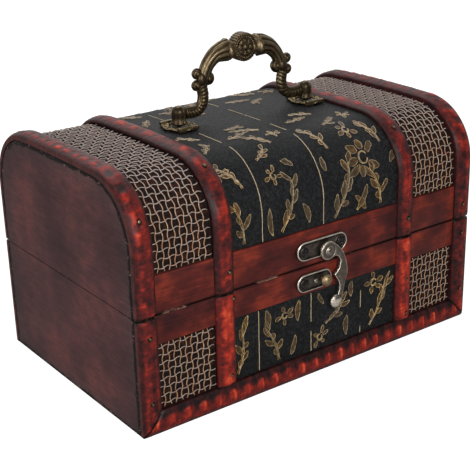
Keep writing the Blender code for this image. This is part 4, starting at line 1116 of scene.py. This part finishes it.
# Castings of fittings: voxel in mm, relaxing steps, gain at the ridges and height of the painted highlight
# over the foot in metres
CASTS = (
    ("latch_screw_upper_left", DARK_STEEL, 0.16, 2), ("latch_screw_upper_right", DARK_STEEL, 0.16, 2),
    # The hook's bulb at its foot takes a painted highlight.
    ("latch_screw_lower", DARK_STEEL, 0.16, 2), ("latch_hook", STEEL, 0.2, 8, 5, 0.006),
    ("latch_rivet", STEEL, 0.18, 4, 3), ("latch_small_pin", STEEL, 0.16, 3),
    ("latch_stud", BRASS, 0.2, 5, 4),
    *[
        (f"hinge_{piece}_{label}", BRASS, 0.22, 3)
        for label in ("left", "right") for piece in ("body_leaf", "lid_leaf", "pin")
    ],
)

# Nail heads in the trims and straps, by x and height over the seam, in mm
NAILS = {
    "lid": ((-59.4, 11.5), (62.4, 10.7), (-106.8, 47), (106.2, 9.2), (-61, 64), (61.2, 60)),
    "box": (
        (-57, -3.6), (-59.9, -45.4), (-106.6, -10.1), (-107.2, -45.2), (62.6, -26.4), (63, -47.2),
        (106.4, -8.6), (107, -44),
    ),
}
NAIL_HEAD = ((1.4, -0.8, 0), (1.4, -0.1, 0), (1.0, 0.15, 0.05), (0.5, 0.4, 0.7), (0.1, 0.5, 0.8))
HINGE_NAIL_HEAD = ((1.6, -0.2), (1.55, 0.08), (1.2, 0.3), (0.7, 0.42), (0.1, 0.46))


def oblong(reach, z, radius, inset, steps=24):
    """The outline of a round-ended plate in x and z, drawn in by inset."""
    left, right = reach[0] + radius, reach[1] - radius
    size = max(radius - inset, 0.00001)
    turn = np.linspace(pi / 2, 3 * pi / 2, steps)
    ends = [(left + size * cos(t), z + size * sin(t)) for t in turn]
    return np.array(ends + [(right - size * cos(t), z - size * sin(t)) for t in turn])


def make_latch():
    for name, body, placing, node in (
        ("latch_plate_upper", "lid", UPPER_PLATE, "latch_upper_plate"),
        ("latch_plate_lower", "box", LOWER_PLATE, "latch_lower_plate"),
    ):
        rings = []
        for inset, height, _ in LATCH_RINGS:
            x, z = oblong(*placing, inset * MM).T
            rings.append(stack(x, -HALF_DEPTH - LATCH_SEAT - height * MM, z))
        shape = Shape()
        shape.grid(np.array(rings), np.array(LATCH_RINGS)[:, 2:])
        shape.piece(name, body, STEEL, node, sharp=50)
    turn, around = circle(40)[:, None], circle(10)
    for name, body, out, thick, level, places in BEADS:
        shape = Shape()
        y = -HALF_DEPTH + (thick * sin(around) - out) * MM
        for x, z, radius in places:
            reach = (radius + thick * cos(around)) * MM
            shape.grid(stack(x * MM + reach * cos(turn), y, z * MM + reach * sin(turn)), level, ring=True)
        shape.piece(name, body, STEEL)


def make_castings():
    for node, finish, voxel, *form in CASTS:
        cast(node, finish, voxel * MM, *form)


def make_nails():
    """Small domed nail heads, in the hinge leaves and in the trims and straps."""
    for body, side in (("lid", 1), ("box", -1)):
        shape = Shape()
        for label in ("left", "right"):
            low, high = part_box(f"hinge_lid_leaf_{label}")
            for share in (-0.34, 0.0, 0.34):
                x = (low.x + high.x) / 2 + share * (high.x - low.x)
                z = SEAM + side * (HINGE_NAIL_RISE + HINGE_NAIL_SHIFT * (share == 0))
                head = np.array(HINGE_NAIL_HEAD) * MM
                turned(shape, head, (x, HINGE_FACE, z), (0, 1, 0), steps=20, level=0.7)
        shape.piece(f"hinge_nails_{body}", body, BRASS)
    half = END_TRIM / 2
    reach, rise, level = np.array(NAIL_HEAD).T[:, :, None]
    rim = circle(18)
    for body, places in NAILS.items():
        shape = Shape()
        for wall in (-1, 1):
            for x, s in places:
                x, s = x * MM, over(s * MM, wall)
                off = abs(x) - (STRAP_CENTRE if abs(x) < 0.08 else HALF_LENGTH - half)
                top = PROUD * (0.5 + 0.43 * sqrt(1 - min(1, abs(off) / half) ** 2))
                x, s = x + reach * MM * cos(rim), s + reach * MM * sin(rim)
                shape.grid(skin(x, s, top + rise * MM), level)
        shape.piece(f"nails_{body}", body, NAIL)


# Gilt pattern

LID_RULES = ((-0.0365, 0.0760, 0.0830, 0.1030), (0.0035, 0.0740, 0.0800, 0.0940, 0.1030, 0.1170))
WALL_RULES = (
    (-0.0400, -0.0505, -0.0165), (-0.0050, -0.0505, -0.0390, -0.0330, -0.0165),
    (0.0304, -0.0505, -0.0465, -0.0350, -0.0250),
)
RULE_HALF = 0.0002
RULE_STEP = 0.002
STROKE_RISE = 0.00045
RULE_RISE = 0.0003

# Rims of a stroke: how far in, and the least share of its half width
STROKE_INSETS = ((0.0001, 0.88), (0.00026, 0.62), (0.0004, 0.42))
STROKE_MARKS = (0.3, 0.7, 1, 0.8, 0, 0, 0, 0.8, 1, 0.7, 0.3)
STROKE_HEIGHT_SHARES = (0, 0.7, 1, 0.9, 0.55, 0.5, 0.55, 0.9, 1, 0.7, 0)

# Lengths in mm: sprigs by x, s, reach, turn, leaf count and leaf size; leaves by x, s, length, width,
# lean and bend; flowers by x, s, size, turn and petals
LID_SPRIGS = (
    (-48, 22.5, 19, 1.75, 5, 6.5), (-45, 50, 13, 2.1, 5, 4.5), (-53, 74, 12, 0.9, 5, 4),
    (-43, 93, 11, 2.3, 5, 3.6), (-24, 23, 27, 1.2, 7, 6.2), (-30, 62, 10, 0.6, 5, 3.6),
    (-14, 71, 13, 2.2, 6, 3.8), (-31, 85, 11, 0.3, 6, 3.6), (-8, 89, 12, 2.7, 6, 3.6),
    (11, 22.5, 30, 1.1, 8, 7.8), (44, 23.5, 19, 1.85, 6, 7), (15, 59, 17, 1.9, 6, 4.6),
    (50, 56, 15, 1.9, 6, 4.8), (25, 76, 12, 0.5, 6, 3.6), (11, 90, 11, 0.2, 6, 3.4),
    (33, 95, 11, 2.6, 6, 3.4), (-23, 99, 10, 0.1, 5, 3.2),
)
LID_LEAVES = (
    (-30, 22.5, 15, 3.2, 1.9, -0.4), (-6, 24, 12, 3.4, 1.6, 0.6), (-11, 55, 7, 3.6, 2.3, 0.5),
    (27, 23, 15, 3.8, 0.8, 0.5), (33, 22.5, 12, 3.6, 2, 0.5), (52, 44, 8.5, 3.6, 1.1, -0.6),
    (-57, 48, 8, 2.2, 1.3, 0.4), (8, 48, 7.5, 3.4, 1.9, -0.5),
)
LID_FLOWERS = (
    (34.5, 50, 10.5, 0.4, 6), (-25, 52, 5.2, 1.1, 5), (-54, 60, 5.6, 0.2, 5),
    (34, 68, 6.4, 0.9, 5), (-6, 80, 4.4, 0.5, 5), (46, 84, 4.8, 1.4, 5),
)
WALL_SPRIGS = (
    (-54, -48, 22, 1.35, 6, 6.2), (-27, -48.5, 20, 1.9, 6, 6.2), (5, -37, 16, 0.6, 5, 5.6),
    (37, -48, 24, 1.05, 6, 6.4),
)
WALL_LEAVES = (
    (-47, -17, 9, 3.4, -2.1, 0.4), (-35, -17.5, 11, 3.6, -1.2, -0.4), (-13, -18, 12, 3.4, -1.9, 0.4),
    (-19, -48, 11, 3.4, 1, 0.5), (0, -18, 8, 2.4, -1.3, 0.4), (20, -48.5, 12, 3.6, 1.8, -0.5),
    (24, -17.5, 9, 3.6, -1.9, 0.4), (52, -19, 15, 2.2, -2.1, 0.4),
)
WALL_FLOWERS = ((-23, -24, 5.8, 0.6, 5), (1, -44, 5.6, 1.3, 5), (40, -22.5, 6.6, 0.3, 5))


def stroke(shape, x, s, half, steps, rise=STROKE_RISE, uneven=0.3, ruled=0):
    """A raised stroke through places in x and s, with a thin lit rim and a sunk fill."""
    line = curve_through(stack(x, s, half), steps)
    path, half = line[:, :2], np.maximum(line[:, 2], 0.0001)[:, None]
    where = stack(path[:, 0], path[:, 1], 0)
    half = half * (1 + uneven * grain(where, 0.0017, 2)[:, None])
    path = path + uneven * 0.0008 * np.stack([grain(where, 0.0026, 3), grain(where, 0.0026, 4)], -1)
    out = sideways(path)
    inner = [np.maximum(half - step, half * keep) for step, keep in STROKE_INSETS]
    offsets = np.hstack([-half, -half, *[-part for part in inner], 0 * half, *inner[::-1], half, half])
    height = COVER - 0.0001 + np.array(STROKE_HEIGHT_SHARES) * rise
    thin = smooth(half, 0.0004, 0.0008)
    points = skin(path[:, :1] + offsets * out[:, :1], path[:, 1:] + offsets * out[:, 1:], height)
    shape.grid(points, STROKE_MARKS * thin + (1 - thin), ruled)


def walk(x, s, turns, length):
    """Places along a path of this length from x and s that heads by turns."""
    step = length / (len(turns) - 1)
    return [
        start + np.concatenate([[0], np.cumsum(way[1:])]) * step
        for start, way in ((x, cos(turns)), (s, sin(turns)))
    ]


def leaf(shape, x, s, length, width, lean, bend, blunt=0.8):
    """One leaf from its stalk end, pointed at both ends."""
    t = np.linspace(0, 1, 9)
    half = width / 2 * sin(pi * np.clip(t * 0.92 + 0.05, 0, 1)) ** blunt
    stroke(shape, *walk(x, s, lean + bend * t, length), half, 4)


def sprig(shape, x, s, reach, turn, count, size, bend=0.6):
    """A bent stem with thin leaves on both sides."""
    steps = np.arange(count + 1)
    along = turn + bend * (steps / count - 0.5)
    xs, ss = walk(x, s, along, reach)
    stroke(shape, xs, ss, 0.0004 + 0.0004 * cos(2.1 * steps) ** 2, 3)
    for number in range(1, count + 1):
        side = 1 if number % 2 else -1
        spread = side * (0.75 + 0.35 * sin(5 * number + 9 * turn))
        length = size * (1.0 + 0.35 * cos(4 * number + 700 * x))
        width = 0.0012 + 0.26 * size
        leaf(shape, xs[number], ss[number], length, width, along[number] + spread, -0.5 * side, 0.6)


def flower(shape, x, s, size, turn, petals):
    """Petals round an open ring that is thick in its middle."""
    t = np.linspace(0, 1, 14)
    lap = turn + 5.6 * t
    half = 0.00055 * (0.45 + 0.55 * sin(pi * t))
    stroke(shape, x + 0.28 * size * cos(lap), s + 0.3 * size * sin(lap), half, 4)
    for number in range(petals):
        spin = turn + 2 * pi * number / petals + 0.3 * sin(7 * number + 300 * s)
        length = size * (0.6 + 0.2 * sin(3 * number + turn))
        start = x + 0.42 * size * cos(spin), s + 0.42 * size * sin(spin)
        leaf(shape, *start, length, 0.42 * size, spin, 0.4, 0.6)


def rule(shape, x, *ends):
    """A thin gilt rule along s in one or more parts."""
    for first, last in zip(ends[::2], ends[1::2]):
        s = np.linspace(first, last, max(4, int(abs(last - first) / RULE_STEP)))
        stroke(shape, x, s, RULE_HALF, 2, RULE_RISE, 0.1, 1)


def pattern(shape, wall, sprigs, leaves, flowers):
    """Sprigs, leaves and flowers, turned over on the back."""
    for x, s, reach, turn, count, size in sprigs:
        sprig(shape, x * MM, over(s * MM, wall), reach * MM, -wall * turn, count, size * MM)
    for x, s, length, width, lean, bend in leaves:
        leaf(shape, x * MM, over(s * MM, wall), length * MM, width * MM, -wall * lean, -wall * bend)
    for x, s, size, turn, petals in flowers:
        flower(shape, x * MM, over(s * MM, wall), size * MM, -wall * turn, petals)


def make_gilding():
    """Raised gilt rules, and sprigs, leaves and flowers between them, on the black leather."""
    shape = Shape()
    for wall, _ in WALLS:
        for x, *ends in LID_RULES:
            rule(shape, x, *[over(end, wall) for end in (LID_BAND_TOP + 0.0006, *ends)])
        pattern(shape, wall, LID_SPRIGS, LID_LEAVES, LID_FLOWERS)
    shape.piece("gilding_lid", "lid", GOLD, sharp=50)
    for wall, label in WALLS:
        shape = Shape()
        for x, *ends in WALL_RULES:
            rule(shape, x, *[over(end, wall) for end in ends])
        pattern(shape, wall, WALL_SPRIGS, WALL_LEAVES, WALL_FLOWERS)
        shape.piece(f"gilding_{label}", "box", GOLD, sharp=50)


# Linings

CARD = 0.0011
CARD_MARGIN = 0.0001
CARD_CORNER = 0.002
FLOOR_BEND = 0.004
LID_CARD_BACK = -0.0054
LID_CARD_FACE = -0.0064
LID_CARD_START = 0.0006
LID_CARD_MIDDLE = (0, 0.09)

# The cards at the lid's ends: depth in mm and share of the outline
LID_END_RINGS = ((0.1, 1), (0.9, 0.998), (1.1, 0.985), (1.1, 0.9), (1.1, 0.6), (1.1, 0.2))


def make_box_lining():
    """A flocked card tray with rounded inner corners."""
    low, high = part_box("body_lining")
    turns = circle(4)[:, None] + np.linspace(0, pi / 2, 5)
    corners = np.array([(1, 1), (-1, 1), (-1, -1), (1, -1)])[:, None]

    def ring(inset, z):
        middle = corners * (np.array([high.x, high.y]) - inset - CARD_CORNER)
        points = middle + CARD_CORNER * stack(cos(turns), sin(turns))
        return stack(points[..., 0], points[..., 1], z).reshape(-1, 3)

    rings = [
        ring(CARD_MARGIN, low.z + 0.0001), ring(CARD_MARGIN, high.z - 0.0004),
        ring(CARD * 0.5, high.z - 0.0001), ring(CARD, high.z - 0.0006),
    ]
    rings += [ring(CARD, z) for z in np.linspace(high.z - FLOOR_BEND, low.z + FLOOR_BEND, 12)]
    for turn in np.linspace(0, pi / 2, 6):
        rings.append(ring(CARD + 0.003 * (1 - cos(turn)), low.z + FLOOR_BEND - 0.003 * sin(turn)))
    for inset in np.linspace(0.008, 0.056, 12):
        rings.append(ring(inset, low.z + 0.001 + 0.0004 * sin(inset * 900) ** 2))
    shape = Shape()
    shape.grid(np.array(rings))
    shape.piece("lining_box", "box", LINING, "body_lining", sharp=60)


def make_lid_lining():
    """Flocked card bent under the lid's shell, and flat cards at its ends."""
    low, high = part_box("lid_lining")
    shape = Shape()
    s = np.linspace(LID_CARD_START, OVER - LID_CARD_START, 150)[:, None]
    x = np.linspace(low.x + CARD_MARGIN, high.x - CARD_MARGIN, 60)
    x = np.concatenate([[x[0]], x, [x[-1]]])
    height = np.concatenate([[LID_CARD_BACK], np.full(60, LID_CARD_FACE), [LID_CARD_BACK]])
    rough = 0.0001 * grain(stack(x + 0 * s, s, 0), 0.012, 6)
    shape.grid(skin(x, s, height + rough * (height <= LID_CARD_FACE)))
    edge = skin(0, np.linspace(LID_CARD_START, OVER - LID_CARD_START, 120), -0.0066)[:, 1:]
    for side in (-1, 1):
        rings = []
        for depth, share in LID_END_RINGS:
            y, z = (LID_CARD_MIDDLE + (edge - LID_CARD_MIDDLE) * share).T
            rings.append(stack(side * (high.x - depth * MM), y, np.maximum(z, SEAM + LID_CARD_START)))
        shape.grid(np.array(rings))
    shape.piece("lining_lid", "lid", LINING, "lid_lining", sharp=60)


# Camera, light and floor

def make_camera():
    data = bpy.data.cameras.new("camera")
    data.sensor_width = CAMERA_SENSOR
    data.lens = CAMERA_LENS
    data.shift_x, data.shift_y = CAMERA_SHIFT
    data.clip_start = CAMERA_NEAR
    camera = bpy.data.objects.new("camera", data)
    camera.location = CAMERA_PLACE
    camera.rotation_euler = [radians(turn) for turn in CAMERA_TURN]
    bpy.context.scene.collection.objects.link(camera)
    bpy.context.scene.camera = camera


def make_lamps():
    for name, place, target, size, power in LAMPS:
        data = bpy.data.lights.new(name, "AREA")
        data.shape = "DISK"
        data.size = size
        data.energy = power
        lamp = bpy.data.objects.new(name, data)
        lamp.location = place
        lamp.rotation_euler = (Vector(target) - Vector(place)).to_track_quat("-Z", "Y").to_euler()
        bpy.context.scene.collection.objects.link(lamp)


def make_world():
    """White where the camera or glass looks; brighter behind the object than in front for gloss."""
    world = bpy.data.worlds.new("studio")
    bpy.context.scene.world = world
    world.use_nodes = True
    n = Nodes(world.node_tree)
    path = n.add("LightPath").outputs
    seen = n.math("MAXIMUM", path["Is Camera Ray"], path["Is Transmission Ray"])
    way = n.add("TexCoord").outputs["Generated"]
    glow = []
    for axis, first, strength in ((BEHIND, -0.1, GLOSS_BACK), (LEFT, 0.35, GLOSS_LEFT)):
        near = n.add("VectorMath", {0: way, 1: axis}, operation="DOT_PRODUCT").outputs["Value"]
        glow.append(n.levels(near, first, 0.9, GLOSS_FRONT, strength))
    room = n.levels(path["Is Glossy Ray"], 0, 1, AMBIENT, n.math("MAXIMUM", *glow))
    background = n.nodes["Background"].inputs
    background["Color"].default_value = (1, 1, 1, 1)
    n.links.new(n.levels(seen, 0, 1, room, 1), background["Strength"])


def make_floor():
    """A plain pale floor that keeps the shadow and runs out to the white of the room."""
    f = Finish("pale_floor", Roughness=0.9, Specular_IOR_Level=0.1, Emission_Color=(1, 1, 1, 1))
    path = f.add("LightPath").outputs
    seen = f.math("MAXIMUM", path["Is Camera Ray"], path["Is Transmission Ray"])
    f.links.new(f.times(seen, FLOOR_GLOW), f.shader.inputs["Emission Strength"])
    mesh = bpy.data.meshes.new("floor")
    corners = [(-1, -1), (1, -1), (1, 1), (-1, 1)]
    mesh.from_pydata([(x * FLOOR_REACH, y * FLOOR_REACH, 0) for x, y in corners], [], [(0, 1, 2, 3)])
    grey = f.levels(f.noise(3, 2), 0.3, 0.7, 0.5, 0.52)
    mesh.materials.append(f.done(grey))
    floor = bpy.data.objects.new("floor", mesh)
    floor.location.z = -FLOOR_DROP
    bpy.context.scene.collection.objects.link(floor)


make_camera()
make_world()
make_floor()
make_lamps()
make_trims()
make_bands()
make_boards()
make_coverings()
make_gilding()
make_bail()
make_posts()
make_latch()
make_castings()
make_nails()
make_box_lining()
make_lid_lining()
bpy.context.scene.view_settings.view_transform = "Standard"
